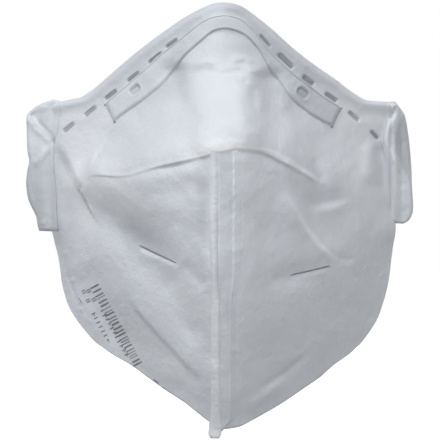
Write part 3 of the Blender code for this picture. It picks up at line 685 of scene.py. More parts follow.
def nonwoven(name, colour, rough=0.86, bonds=0.5, fibre=1.0, soil=0.5,
             painted_shade=(0.30, 0.31, 0.33), sheen=0.25, gloss=0.0):
    """Spunbond web: laid fibres, a skewed grid of point bonds, clouds, painted shade and painted
    light.
    """
    nodes, shader = new_material(name)
    place = nodes.add("TexCoord").outputs["Object"]
    layers = []
    for turn, scale, stretch in FIBRE_LAYERS:
        mapping = {"Vector": place, "Rotation": (0.0, turn, 0.0), "Scale": (1, 1, 1 / stretch)}
        vector = nodes.add("Mapping", mapping).outputs[0]
        layers.append(nodes.noise(vector, scale=scale, detail=3.0, roughness=0.6))
    fibres = nodes.math("MAXIMUM", nodes.math("MAXIMUM", layers[0], layers[1]), layers[2])
    fibres = nodes.ramp(fibres, start=0.45, end=0.78)

    grid = nodes.add("Mapping", {"Vector": place, "Rotation": (0.0, BOND_TURN, 0.0),
                                 "Scale": (1 / BOND_PITCH,) * 3})
    axes = nodes.add("SeparateXYZ", {0: grid.outputs[0]})
    wave_x = nodes.math("SINE", nodes.math("MULTIPLY", axes.outputs[0], 2 * math.pi))
    wave_z = nodes.math("SINE", nodes.math("MULTIPLY", axes.outputs[2], 2 * math.pi))
    bond = nodes.ramp(nodes.math("MULTIPLY", wave_x, wave_z), start=0.30, end=0.72)

    fine = nodes.noise(place, scale=230.0, detail=6.0, roughness=0.66)
    cloud = nodes.ramp(fine, start=0.30, end=0.70)
    broad = nodes.noise(place, scale=28.0, detail=3.0, roughness=0.5)
    broad = nodes.ramp(broad, start=0.30, end=0.72)

    dark = tuple(c * (1 - 0.07 * soil) for c in colour)
    cool = (colour[0] * 0.985, colour[1] * 0.995, min(1.0, colour[2] * 1.01))
    bonded = tuple(c * 0.86 for c in colour)
    bright = tuple(min(1, c * 1.06) for c in colour)
    tint = nodes.mix(cloud, dark, colour)
    tint = nodes.mix(nodes.math("MULTIPLY", broad, 0.6), tint, cool)
    tint = nodes.mix(nodes.math("MULTIPLY", bond, 0.10 * bonds), tint, bonded)
    tint = nodes.mix(nodes.math("MULTIPLY", fibres, 0.10 * fibre), tint, bright)
    # painted shade: the point attribute darkens the colour towards the given dark where shade
    # falls
    tint = nodes.mix(nodes.attribute("painted_shade"), tint, painted_shade)
    # painted light: the point attribute whitens crests, lips and shaded crease lines
    tint = nodes.mix(nodes.attribute("painted_light"), tint, PAINTED_LIGHT_WHITE)

    roughness = nodes.math("SUBTRACT", rough, nodes.math("MULTIPLY", bond, 0.10 * bonds))
    roughness = nodes.math("ADD", roughness, nodes.math("MULTIPLY", cloud, 0.05))
    if gloss:
        roughness = nodes.math("SUBTRACT", roughness, nodes.math("MULTIPLY", broad, gloss))

    height = nodes.math("MULTIPLY", fibres, 0.035 * fibre)
    height = nodes.math("SUBTRACT", height, nodes.math("MULTIPLY", bond, 0.022 * bonds))
    height = nodes.math("ADD", height, nodes.math("MULTIPLY", fine, 0.50))
    nodes.fill(shader, {
        "Base Color": tint,
        "Roughness": roughness,
        "Specular IOR Level": 0.32,
        "Sheen Weight": sheen,
        "Sheen Roughness": 0.5,
        "Subsurface Weight": 0.06,
        "Subsurface Radius": (0.9, 0.9, 1.0),
        "Subsurface Scale": 0.0012,
        "Normal": nodes.bump(height, strength=0.6, distance=0.0016),
    })
    return nodes.owner


def mottled(name, colour, rough, scale, variation):
    nodes, shader = new_material(name)
    place = nodes.add("TexCoord").outputs["Object"]
    spots = nodes.noise(place, scale=scale, detail=4.0, roughness=0.6)
    spots = nodes.ramp(spots, start=0.3, end=0.7)
    dark = tuple(c * (1 - variation) for c in colour)
    nodes.fill(shader, {
        "Base Color": nodes.mix(spots, dark, colour),
        "Roughness": nodes.math("ADD", rough, nodes.math("MULTIPLY", spots, 0.08)),
        "Normal": nodes.bump(spots, strength=0.6, distance=0.0001),
    })
    return nodes.owner


def foam_material():
    nodes, shader = new_material("foam_cells")
    place = nodes.add("TexCoord").outputs["Object"]
    cells = nodes.add("TexVoronoi", {"Scale": 1500.0, "Vector": place}).outputs["Distance"]
    cells = nodes.ramp(cells, start=0.0, end=0.6)
    nodes.fill(shader, {
        "Base Color": nodes.mix(cells, (0.50, 0.51, 0.52), (0.74, 0.75, 0.76)),
        "Roughness": 0.95,
        "Normal": nodes.bump(cells, strength=0.8, distance=0.0004),
    })
    return nodes.owner


def cord_material():
    """Knit made of two crossing spirals."""
    stitch_length, stitches_round = 1.1, 5
    nodes, shader = new_material("cord_knit")
    run, turn = nodes.attribute("run"), nodes.attribute("turn")
    run = nodes.math("MULTIPLY", run, 2 * math.pi / stitch_length)
    turn = nodes.math("MULTIPLY", turn, 2 * math.pi * stitches_round)
    spiral = nodes.math("SINE", nodes.math("ADD", run, turn))
    counter = nodes.math("SINE", nodes.math("SUBTRACT", run, turn))
    knit = nodes.math("MULTIPLY", nodes.math("MULTIPLY", spiral, counter), 0.5)
    knit = nodes.ramp(nodes.math("ADD", knit, 0.5), start=0.15, end=0.85)
    nodes.fill(shader, {
        "Base Color": nodes.mix(knit, (0.80, 0.805, 0.81), (0.92, 0.92, 0.925)),
        "Roughness": 0.8,
        "Sheen Weight": 0.4,
        "Normal": nodes.bump(knit, strength=0.8, distance=0.0003),
    })
    return nodes.owner


WHITE = (0.80, 0.815, 0.845)
M_SHELL = nonwoven("shell_web", WHITE)
M_LINING = nonwoven("lining_web", (0.80, 0.80, 0.80), rough=0.92, bonds=0.9, sheen=0.35)
M_EDGE = nonwoven("fused_edge", (0.76, 0.775, 0.80), rough=0.6, bonds=0.2)
# lighter copy of the web, as a painted highlight on the raised bead
M_SEAM = nonwoven("seam_web", (0.91, 0.916, 0.93), rough=0.72, bonds=0.35, gloss=0.12)
M_TAB = nonwoven("tab_web", (0.785, 0.80, 0.83), rough=0.84, bonds=0.6)
M_FLANGE = nonwoven("seam_flange_web", WHITE, rough=0.82, bonds=0.4, painted_shade=(0.60, 0.62, 0.66))
M_STRIP = nonwoven("clip_film", (0.83, 0.85, 0.885), rough=0.50, bonds=0.0, fibre=0.25,
                   soil=0.35, sheen=0.1, gloss=0.10, painted_shade=(0.42, 0.43, 0.46))
M_INK = mottled("grey_ink", (0.37, 0.375, 0.39), rough=0.7, scale=900.0, variation=0.45)
# dark used as painted shadow in the slits, and for the weld dots and dashes
M_CUT = mottled("slit_shadow", (0.38, 0.385, 0.40), rough=0.85, scale=700.0, variation=0.3)
M_FOAM = foam_material()
M_CORD = cord_material()

# ---------------------------------------------------------------- the shell
COLUMNS = np.linspace(EDGE_L, EDGE_R, 341)
ROW_SHARE = 1.0
WALL, WALL_MAX = 1.35, 2.8  # wall thickness, and its limit along Y where the shell is steep


def shell_grid():
    """Grid of x and z, with rows packed around the crease."""
    low, crease, clip_low, clip_high, top = landmarks(COLUMNS)
    bands = (
        (low, crease - 2.5, 96), (crease - 2.5, crease + 4.0, 26), (crease + 4.0, clip_low, 76),
        (clip_low, clip_high, 18), (clip_high, top, 52),
    )
    rows = []
    for start, end, count in bands:
        for share in np.linspace(0, 1, int(count * ROW_SHARE), endpoint=False):
            rows.append(start + (end - start) * share)
    z = np.stack([*rows, top], 1)
    return np.repeat(COLUMNS[:, None], z.shape[1], 1), z


def shell_painted_shade(x, z):
    """Painted shade: the slot recesses and the shaded places of the shell."""
    shaded_places = sum_folds(x, z, SHADE_FOLDS) + sum_lumps(x, z, SHADE_LUMPS)
    # painted shade above the clip near the middle, and along the left hem
    above_clip = smooth(-1.0, 2.0, z - monotone(CLIP_HIGH, x))
    shaded_places += 0.15 * above_clip * (1 - smooth(30, 46, np.abs(x)))
    left_hem = 1 - smooth(-57.4, -53.6, x)
    shaded_places += 0.27 * left_hem * smooth(64.0, 70.0, z) * (1 - smooth(94.0, 99.0, z))
    grain = 0.10 * value_noise(x, z, 1.1, 77)
    tone = shaded_places
    # painted shade inside the slot recesses, darker towards their lower side
    for dash in DASHES:
        across = turned(x, z, *dash[:3])[1] / dash[4]
        shade = np.clip(0.72 + 0.45 * smooth(0.45, -0.45, across) + grain, 0, 1)
        tone = np.maximum(tone, box_mask(x, z, [dash], 0.4) * shade)
    # the tone never falls below zero
    return np.maximum(tone, 0)


def shell_painted_light(x, z):
    painted_light = sum_folds(x, z, PAINTED_LIGHT_FOLDS) + sum_lumps(x, z, PAINTED_LIGHT_LUMPS)
    # painted highlight along the lip just above the crease
    over_crease = bell(z - landmarks(x)[1] - 2.1, 0.45)
    painted_light += 0.42 * over_crease * smooth(-46, -40, x) * (1 - smooth(2, 12, x))
    return np.clip(painted_light, 0, 1)


def build_shell():
    """Shell object, with the heights of its grid and the depth of its inner face."""
    x, z = shell_grid()
    outer = depth(x, z)
    recess = 0.75 * box_mask(x, z, DASHES, 0.35)
    front = points(x, SIDE_Y - outer + recess, z + droop(x, z))
    calm = blur(min_filter(outer, 4), 24)
    slope_x = np.gradient(calm, axis=0) / np.gradient(x, axis=0)
    slope_z = np.gradient(calm, axis=1) / np.maximum(np.gradient(z, axis=1), 0.05)
    steep = np.sqrt(1 + slope_x**2 + np.clip(slope_z, -1.5, 1.5) ** 2)
    inner = np.minimum(calm - np.clip(WALL * steep, WALL, WALL_MAX), outer - 1.3)
    inner = np.minimum(blur(inner, 8), outer - 1.2)
    attributes = {"painted_shade": shell_painted_shade(x, z), "painted_light": shell_painted_light(x, z)}
    made = closed_sheet("mask_shell", stretched(front), stretched(points(x, SIDE_Y - inner, z)),
                        [M_SHELL, M_LINING, M_EDGE], attributes, rim_slot=2, back_slot=1)
    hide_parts(*(f"{layer}_{side}" for layer in (
        "outer_cover", "stiffener_layer", "filter_web_outer", "filter_web_inner", "inner_lining",
    ) for side in ("left", "right")))
    return made, z, inner


def bend(made):
    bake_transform(made)


# ---------------------------------------------------------------- nose clip strip
STRIP_HIGH = (
    (-39.7, 117.1), (-34.1, 122.1), (-27.8, 127.6), (-20.1, 134.6), (-14.9, 138.4),
    (-10.7, 141.9), (-6.8, 144.9), (-3.0, 147.0), (1.2, 147.8), (4.7, 147.3), (8.2, 145.6),
    (12.4, 140.9), (16.3, 135.8), (20.1, 132.1), (24.3, 128.4), (29.6, 124.6),
    (35.2, 120.4), (42.2, 115.7),
)
STRIP_LOW = (
    (-36.6, 110.8), (-32.4, 113.9), (-27.8, 116.9), (-22.9, 120.6), (-19.1, 123.9),
    (-15.9, 128.1), (-13.8, 130.9), (-11.7, 133.5), (-8.9, 136.1), (-5.8, 138.9),
    (-2.6, 141.6), (1.2, 142.8), (5.4, 142.1), (9.3, 140.0), (13.1, 135.8), (15.2, 132.3),
    (17.3, 128.1), (20.5, 124.4), (23.3, 119.9), (27.5, 115.8), (33.4, 111.8), (39.0, 109.0),
)
# place across (-1 at the lower edge, 1 at the upper), lift off the shell
STRIP_PROFILE = (
    (-1.0, -0.3), (-0.985, 0.0), (-0.96, 0.12), (-0.93, 0.2), (-0.90, 0.42), (-0.86, 0.8),
    (-0.80, 1.02), (-0.72, 1.1),
    *((v, 1.05 + 0.05 * math.cos(v * 3)) for v in np.linspace(-0.6, 0.6, 11)),
    (0.70, 0.98), (0.76, 0.82), (0.80, 0.72), (0.84, 0.86), (0.89, 1.0), (0.93, 0.95),
    (0.97, 0.5), (1.0, -0.2),
)
# the two pressed welds, columns as in DASHES
WELDS = ((-28.9, 122.0, 39, 4.0, 2.4), (28.2, 120.9, -40, 4.4, 3.0))


def soft_depth(x, z):
    """Shell depth without the finest crumple, so that the strip stays even."""
    step = 1.2
    total = folds(x, z) * 2
    for i in (-step, 0, step):
        for j in (-step, 0, step):
            if i or j:
                total = total + folds(x + i, z + j)
    return base_depth(x, z) + total / 10.0 + FACE_LIFT


def build_strip():
    count = 240
    low, high = resample(STRIP_LOW, count), resample(STRIP_HIGH, count)
    across, profile_lift = np.array(STRIP_PROFILE).T
    x = low[:, :1] * (1 - across) / 2 + high[:, :1] * (1 + across) / 2
    z = low[:, 1:] * (1 - across) / 2 + high[:, 1:] * (1 + across) / 2

    weld = box_mask(x, z, WELDS, 0.3)
    ring = box_mask(x, z, WELDS, 0.35, grow=1.2) - weld
    lift = profile_lift - 0.75 * weld + 0.14 * np.clip(ring, 0, 1)
    lift = lift + layered_noise(x, z, (0.10, 6.0, 21), (0.05, 2.5, 22))
    end_lift = 0.30
    ends = from_ends(count)[:, None] / 4.0
    sunk = np.minimum(lift, end_lift + (lift - end_lift) * smooth(0.0, 1.0, ends))
    lift = np.where(ends < 1, sunk, lift)

    # painted shadow lines near both edges, fading at the ends, over a broad painted shade, darker
    # in the middle and towards the right
    line = 0.36 * bell(across + 0.93, 0.06) + 0.36 * bell(across - 0.80, 0.06)
    line = (line + 0.25 * (across > 0.97)) * (0.75 + 0.5 * np.abs(value_noise(x, z, 5.0, 61)))
    line = line * smooth(-0.2, 1.0, from_ends(count)[:, None] / 14.0)
    shade = 0.17 + 0.14 * (1 - smooth(12.0, 24.0, np.abs(x))) + 0.18 * smooth(2.0, 20.0, x)
    shade = shade * (1 - 0.9 * (1 - smooth(-36.0, -27.0, x)))
    # painted shade in the pressed welds, lighter at their core
    core = box_mask(x, z, WELDS, 0.3, grow=-1.1)
    painted_shade = np.clip(0.62 * weld - 0.34 * core + line + shade, 0, 1)

    surface = np.maximum(soft_depth(x, z), depth(x, z) - 0.15)
    front, back = (stretched(lifted(x, z, surface, base_depth, 0.5, 2.0, height))
                   for height in (lift, -0.5))
    made = closed_sheet("nose_clip_strip", front, back, [M_STRIP], {"painted_shade": painted_shade})
    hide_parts("nose_clip_cover", "nose_clip_core")
    return made


# ---------------------------------------------------------------- front seam
# place across from 0 to 1, lift
FLANGE_PROFILE = (
    (0.0, 0.45), (0.06, 0.40), (0.12, 0.32), (0.20, 0.24), (0.30, 0.2), (0.42, 0.2),
    (0.54, 0.2), (0.59, 0.2), (0.62, 0.22), (0.65, 0.28), (0.68, 0.35), (0.71, 0.38),
    (0.74, 0.36), (0.77, 0.31), (0.81, 0.25), (0.86, 0.18), (0.91, 0.11), (0.95, 0.06),
    (0.98, 0.0), (1.0, -0.06),
)


def upright_grid(heights, left, right, across):
    return left * (1 - across) + right * across, np.tile(heights, (len(across), 1))


def seam_depth(x, z):
    """Shell depth near the seam, averaged so that the plies run straight."""
    z = np.clip(z, 2.0, 100.2)
    form = sum(base_depth(x, np.minimum(z + step, SEAM_TOP)) for step in (-2.0, 0.0, 2.0)) / 3
    return form + FACE_LIFT + 0.7 * folds(x, z)


def seam_sheet(name, x, z, lift, under, material, painted_shade, hug=0.0):
    """Upright band; hug is the share by which it follows the true shell face."""
    face = seam_depth(x, z)
    front = face * (1 - hug) + depth(x, np.clip(z, 2.0, SEAM_TOP)) * hug + lift
    return closed_sheet(name, stretched(points(x, SIDE_Y - front, z)),
                        stretched(points(x, SIDE_Y - face - under, z)), [material], {"painted_shade": painted_shade})


def build_bead():
    heights = np.linspace(0.0, 100.6, 190)
    centre = -1.75 + 0.12 * np.sin(heights / 17.0) + 0.08 * np.sin(heights / 7.3 + 1.0)
    half = 1.5 + 0.08 * np.sin(heights / 9.0) + 0.75 * (1 - smooth(2, 10, heights))
    half = half * (0.62 + 0.38 * smooth(-0.4, 1.6, heights))
    angle = np.linspace(0, math.pi, 15)[:, None]
    across = (0.5 - 0.5 * np.cos(angle)) ** 1.2
    # the left flank dips below the shell, the right one rests above it
    lift = np.where(angle < math.pi / 2, -0.20 + 1.02 * np.sin(angle) ** 1.6,
                    0.26 + 0.56 * np.sin(angle) ** 1.4)
    left = centre - half - 0.35 * smooth(60.0, 80.0, heights)
    x, z = upright_grid(heights, left, centre + half, across)
    ripple = 0.06 * np.sin(z * 2 * math.pi / 1.9) * (across > 0.5) * (across < 0.9)
    lift = lift + ripple + layered_noise(x * 2, z, (0.10, 5.0, 31), (0.05, 1.7, 32))
    lift = lift - 0.5 * (1 - smooth(0.0, 1.4, z))
    # painted shade over the upper bead, a little less near its top, and stronger on its right
    # flank
    painted_shade = 0.27 * smooth(44.0, 58.0, z) - 0.08 * smooth(72.0, 86.0, z)
    painted_shade = painted_shade * (0.8 + 0.9 * smooth(0.42, 0.9, across))
    made = seam_sheet("seam_bead", x, z, lift, -1.3, M_SEAM, painted_shade)
    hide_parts("seam_ply_cap")
    return made


def build_flange():
    bottom = 2.6
    heights = np.linspace(bottom, 99.9, 230)
    right = 5.6 + 1.7 * smooth(46.0, 58.0, heights) - 0.5 * (1 - smooth(2, 16, heights))
    right = right - 4.2 * (1 - smooth(2.2, 7.4, heights)) + 0.08 * np.sin(heights / 6.0)
    profile = np.array(FLANGE_PROFILE)
    across, lift = profile[:, :1], profile[:, 1:]
    x, z = upright_grid(heights, -0.6, right, across)
    upper = smooth(53.0, 57.0, z)
    # row of beads above; flat ridge and groove below
    beads = bell(across - 0.71, 0.05) * (0.5 + 0.5 * np.cos(z * 2 * math.pi / 3.85)) ** 2
    ridge = 0.22 * smooth(0.14, 0.30, across) * (1 - smooth(0.66, 0.82, across))
    groove = -0.35 * bell(across - 0.16, 0.12)
    noise = layered_noise(x, z, (0.08, 4.0, 41), (0.04, 1.5, 42))
    shape = 0.20 * beads * upper + (ridge + groove) * (1 - upper)
    shape = shape + noise * (1 - smooth(0.8, 0.95, across))
    end = smooth(0.0, 1.2, z - bottom)
    lift = lift + shape * end - 0.4 * (1 - end)
    # painted shade over the inner part of the band, stronger higher up, and a painted shadow line
    # in the groove below
    painted_shade = 0.42 * smooth(38.0, 46.0, z) + 0.20 * smooth(78.0, 90.0, z)
    painted_shade = painted_shade * (1 - smooth(0.60, 0.69, across)) * smooth(0.02, 0.10, across)
    painted_shade = painted_shade + 0.40 * bell(across - 0.19, 0.05) * (1 - smooth(36.0, 46.0, z))
    hug = smooth(0.40, 0.74, across)
    made = seam_sheet("seam_flange", x, z, lift, -1.0, M_FLANGE, painted_shade, hug)
    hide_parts("seam_ply_base")
    return made


# ---------------------------------------------------------------- laid marks, and dark bars painted as shadow in the pressed slits
MARK_RUN = -61  # direction of the mark rows, degrees
MARK_ACROSS = MARK_RUN + 90


def bar(centre, angle, length, width, lift=0.06, count=6, taper=False):
    """Flat bar on the shell, as a grid of points along and across."""
    c, s = math.cos(math.radians(angle)), math.sin(math.radians(angle))
    along = np.linspace(-length / 2, length / 2, count)[:, None]
    half = width / 2 * np.array((-1, 1))
    if taper:
        half = half * np.clip(1 - (np.abs(along) / (length / 2)) ** 10, 0.3, 1)
    x = centre[0] + along * c - half * s
    z = centre[1] + along * s + half * c
    return lifted(x, z, depth(x, z), depth, 0.3, np.inf, lift)


def laid_set(name, bars, material, thickness=0.08):
    """Bars closed into thin boxes, as one object on the outer web."""
    vertices, faces = [], []
    for grid in bars:
        start = len(vertices)
        face = grid.reshape(-1, 3)
        vertices.extend(face)
        vertices.extend(face + np.array([0, thickness, 0]))
        back = len(face)
        for a in range(start, start + back - 2, 2):
            b, c, d = a + 2, a + 3, a + 1
            faces += [(a, b, c, d), (d + back, c + back, b + back, a + back),
                      (b, a, a + back, b + back), (d, c, c + back, d + back)]
        end = start + back - 2
        faces.append((start, start + 1, start + 1 + back, start + back))
        faces.append((end + 1, end, end + back, end + 1 + back))
    made = quad_mesh(name, stretched(vertices), faces, [material])
    return made


def mark_bars():
    """Short bars in slanted rows, without letters or numbers."""
    rng = np.random.default_rng(7)
    run = np.array([math.cos(math.radians(MARK_RUN)), math.sin(math.radians(MARK_RUN))])
    bars = []
    # bold row, uneven in width and gap
    start = np.array((-42.9, 52.0))
    at = -1.4
    while at < 30.0:
        width = float(rng.choice([0.34, 0.5, 0.8]))
        length = float(rng.choice([3.3, 3.3, 2.9]))
        bars.append(bar(start + run * (at + width / 2), MARK_ACROSS, length, width * 0.7))
        at += width + float(rng.choice([0.45, 0.6, 0.9]))
    # two rows of small bars
    pitch = 1.75
    for start, count in (((-40.8, 44.3), 11), ((-43.9, 43.2), 7)):
        for i in range(count):
            centre = np.array(start) + run * (i * pitch)
            length = float(rng.choice([1.0, 1.5, 1.5, 0.7]))
            bars.append(bar(centre, MARK_ACROSS, length, 0.42))
            if rng.uniform() < 0.5:
                bars.append(bar(centre + run * 0.55, MARK_RUN, 0.7, 0.32))
    # block by the hem
    for centre in ((-47.4, 51.3), (-45.7, 51.6), (-46.0, 48.1), (-43.9, 48.5)):
        for i in range(2):
            bars.append(bar(np.array(centre) + run * (i * 0.8), MARK_ACROSS, 1.5, 0.34))
    return bars


# dark bars laid along the pressed slits, as painted shadow in them
def slit_shadow_bars():
    return [
        bar((-21.2, 64.4), -25.278, length=14.2, width=0.72, lift=0.16, count=24, taper=True),
        bar((31.1, 58.6), 12.995, length=14.4, width=0.56, lift=0.16, count=24, taper=True),
    ]


def dot_bars():
    """Dots at the strip corners and short dashes near the lower left edge."""
    corners = ((-36.4, 110.7), (-39.7, 116.9), (39.0, 109.0), (42.2, 115.6))
    dots = [bar(corner, 40, length=0.9, width=0.5, lift=0.12, count=4) for corner in corners]
    # centre, turn in degrees, length, width
    for dash in (((-48.6, 47.8), -58, 2.2, 0.3), ((-21.9, 19.8), -33, 2.6, 0.5),
                 ((-19.1, 17.3), -33, 1.6, 0.4)):
        dots.append(bar(*dash, lift=0.05, taper=True))
    return dots


# ---------------------------------------------------------------- side tabs
# outlines from top to bottom, as (x, z)
TAB_OUTER = {
    "left": (
        (-58.1, 118.5), (-60.9, 117.6), (-64.2, 116.2), (-66.9, 114.1), (-67.7, 112.3),
        (-67.7, 109.0), (-67.6, 104.8), (-67.4, 100.3), (-66.8, 97.1), (-67.5, 93.3),
        (-67.9, 89.1), (-67.4, 84.5), (-66.3, 81.4), (-64.4, 77.5), (-63.9, 74.4), (-63.3, 72.4),
    ),
    "right": (
        (59.8, 117.9), (61.4, 117.7), (62.8, 116.0), (64.6, 113.6), (65.5, 110.4),
        (66.0, 107.3), (66.6, 102.7), (67.0, 98.2), (67.3, 93.6), (67.4, 89.1),
        (67.7, 84.5), (67.9, 80.7), (67.5, 78.2), (66.3, 76.1), (64.4, 74.9),
    ),
}
TAB_INNER = {
    "left": (
        (-55.5, 117.8), (-55.6, 113.9), (-56.5, 108.3), (-57.7, 103.8), (-58.0, 99.9),
        (-58.0, 94.7), (-57.4, 87.3), (-56.9, 78.9), (-56.4, 72.1),
    ),
    "right": (
        (59.7, 117.8), (58.6, 113.6), (57.4, 108.3), (56.7, 103.8), (57.4, 99.9),
        (58.3, 95.0), (58.8, 89.4), (59.3, 81.4), (60.2, 75.1),
    ),
}
# columns as in FOLDS and LUMPS
TAB_FOLDS = {
    "left": (
        (0.65, 1.3, 1.6, 0, 0, (-67.5, 111.6), (-62.8, 107.6), (-57.7, 103.2)),
        (-1.5, 1.9, 0.8, 0.12, 0.1, (-66.8, 113.6), (-62.8, 110.1), (-57.9, 105.5)),
        (-0.7, 0.7, 0.8, 0.2, 0.1, (-65.3, 109.9), (-61.8, 107.3), (-59.0, 104.5)),
        (0.55, 1.7, 1.2, 0.1, 0.2, (-57.9, 102.7), (-61.4, 99.4), (-66.0, 95.0)),
        (-0.7, 1.3, 1.5, 0.2, 0.2, (-59.3, 102.0), (-59.3, 94.3), (-58.6, 86.6), (-57.9, 78.2)),
    ),
    "right": (
        (1.2, 1.6, 1.4, 0.2, 0.25, (62.8, 115.7), (60.4, 111.5), (58.6, 106.6), (59.3, 102.0),
         (61.9, 96.8), (64.9, 91.2)),
        (-0.8, 0.9, 0.8, 0.1, 0.1, (61.8, 116.7), (60.9, 113.9), (60.0, 111.5)),
        (0.5, 2.2, 2.2, 0.3, 0.3, (63.9, 89.4), (64.2, 84.5), (64.9, 78.9)),
    ),
}
TAB_LUMPS = ((-62.1, 75.2, 1.2, 0.9, 20, 0.5), (-63.5, 86.6, 3.0, 8.0, 5, 0.7))
# facet of the right tab, painted darker as shade where it faces away from the light
TAB_SHADED_FACET = (
    (60.7, 106.6), (63.2, 112.5), (64.9, 113.2), (66.3, 105.9), (67.2, 97.1), (66.5, 90.1),
    (63.9, 94.3), (61.1, 100.6),
)
TAB_WIDEN, TAB_HEIGHTEN, TAB_SHIFT, TAB_MID_Z = 1.016, 1.014, 0.2, 76.2
TAB_THICK = 1.25


def tab_height(z):
    return TAB_MID_Z + (z - TAB_MID_Z) * TAB_HEIGHTEN


def tab_depth(side, x, z):
    """Depth of the front face of a tab."""
    inner_x, inner_z = np.array(TAB_INNER[side])[::-1].T
    outward = np.abs(x - np.interp(z, inner_z, inner_x))
    below = np.maximum(100.0 - z, 0)
    above = smooth(100.5, 104.5, z)
    flush = depth(np.clip(x, EDGE_L + 0.4, EDGE_R - 0.4), tab_height(z)) + 0.55
    creases = sum_folds(x, z, TAB_FOLDS[side])
    if side == "left":
        form = 2.6 - 0.36 * outward + 0.6 * smooth(110, 118, z) - 0.10 * below
        creases = creases + sum_lumps(x, z, TAB_LUMPS)
        creases = creases - 1.2 * smooth(108, 117, z) * smooth(3.0, 9.0, outward)
        flush = flush - 0.47 * above
        near = smooth(EDGE_L - 5.6, EDGE_L - 0.2, x)
        groove_fade = 1 - above
    else:
        form = 2.2 - 0.58 * outward - 0.04 * below
        form = form + layered_noise(x, z, (0.16, 5.0, 51), (0.08, 2.2, 52))
        near = 1 - smooth(EDGE_R + 0.2, EDGE_R + 3.6, x)
        groove_fade = 1 - 0.3 * above
    form = form - 0.45 * bell(outward, 0.5) * groove_fade
    form = form * (1 - near) + np.maximum(form, flush) * near
    creases = creases * smooth(0.2, 2.0, outward)
    return form + np.maximum(creases, 0) + np.minimum(creases, 0) * (1 - 0.8 * near)


def tab_painted_shade(side, x, z):
    def add_crease_shadow(tone, *row):
        return np.maximum(tone, sum_folds(x, z, [row]))

    if side == "left":
        # painted shade on the lower part of the left tab, and shadow lines painted along its
        # creases and inner edge
        tone = 0.27 * (1 - smooth(92.0, 102.0, z))
        tone = add_crease_shadow(tone, 0.48, 0.75, 0.6, 0.25, 0.0, (-64.6, 112.0), (-61.8, 109.5),
                          (-59.0, 106.6), (-57.7, 103.9))
        tone = np.maximum(tone, lump(x, z, -58.1, 104.1, 1.1, 0.6, -40, 0.6))
        wide = (0.10, 1.6, 1.6, 0.1, 0.1, (-67.4, 111.8), (-63.5, 108.3), (-58.6, 103.9))
        tone = tone + sum_folds(x, z, [wide])
        tone = add_crease_shadow(tone, 0.55, 0.5, 0.6, 0.5, 0.0, (-57.7, 88.0), (-56.9, 80.3),
                          (-56.4, 72.3))
    else:
        # painted shade on the facet, and shadow lines painted along the creases
        tone = 0.40 * smooth(-0.6, 1.2, inside(TAB_SHADED_FACET, x, z))
        tone = add_crease_shadow(tone, 0.42, 0.45, 0.55, 0.1, 0.15, (61.6, 116.5), (60.6, 114.3),
                          (59.7, 111.5))
        tone = add_crease_shadow(tone, 0.30, 1.5, 1.0, 0.25, 0.0, (59.3, 100.6), (60.0, 91.5),
                          (60.5, 83.1), (61.2, 75.8))
    return np.clip(tone, 0, 1)


def build_tab(side):
    rows, columns = 120, 36
    inner = resample(TAB_INNER[side], rows)[::-1]
    outer = resample(TAB_OUTER[side], rows)[::-1]
    # share of the way from the inner to the outer line, ordered along +X
    share = np.linspace(0, 1, columns)[:, None]
    if side == "left":
        share = share[::-1]
    x = inner[:, 0] * (1 - share) + outer[:, 0] * share
    z = inner[:, 1] * (1 - share) + outer[:, 1] * share
    to_outer = (1 - share) * np.abs(outer[:, 0] - inner[:, 0])
    to_edge = np.minimum(to_outer, from_ends(rows) * (45.0 / rows))
    face = tab_depth(side, x, z) - 0.8 * bell(to_edge, 0.55)
    rear = np.minimum(blur(face, 6) - TAB_THICK, face - 0.95)
    wide_x = x * TAB_WIDEN + TAB_SHIFT
    front, back = (points(wide_x, SIDE_Y - level, tab_height(z)) * MM for level in (face, rear))
    made = closed_sheet(f"side_flange_{side}", front, back, [M_TAB],
                        {"painted_shade": tab_painted_shade(side, x, z)})
    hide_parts(f"side_tab_{side}")
    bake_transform(made)


# ---------------------------------------------------------------- ear loops
CORD_RADIUS = 1.15
LOOP_BEND = 3.0  # radius of the bends where the cord leaves the mask


def loop_line(reach, half):
    """Centre line of a loop as (y, z) from its joint, from the lower end to the upper."""
    radius, flat = LOOP_BEND, reach - half
    turn = np.linspace(0.25, math.pi / 2, 5)
    line = [(0.0, -half + 8.5), (0.0, -half + 6.0), (0.0, -half + 3.6)]
    line += [(radius - radius * math.cos(a), -half + radius - radius * math.sin(a)) for a in turn]
    line += [(flat * 0.35, -half - 0.5), (flat * 0.7, -half - 0.7)]
    line += [(flat + half * math.cos(a), half * math.sin(a))
             for a in np.linspace(-math.pi / 2, math.pi / 2, 15)]
    line += [(flat * 0.7, half + 0.5), (flat * 0.35, half + 0.6)]
    line += [(radius - radius * math.cos(a), half - radius + radius * math.sin(a))
             for a in turn[::-1]]
    return line + [(0.0, half - 3.6), (0.0, half - 6.0), (0.0, half - 8.5)]


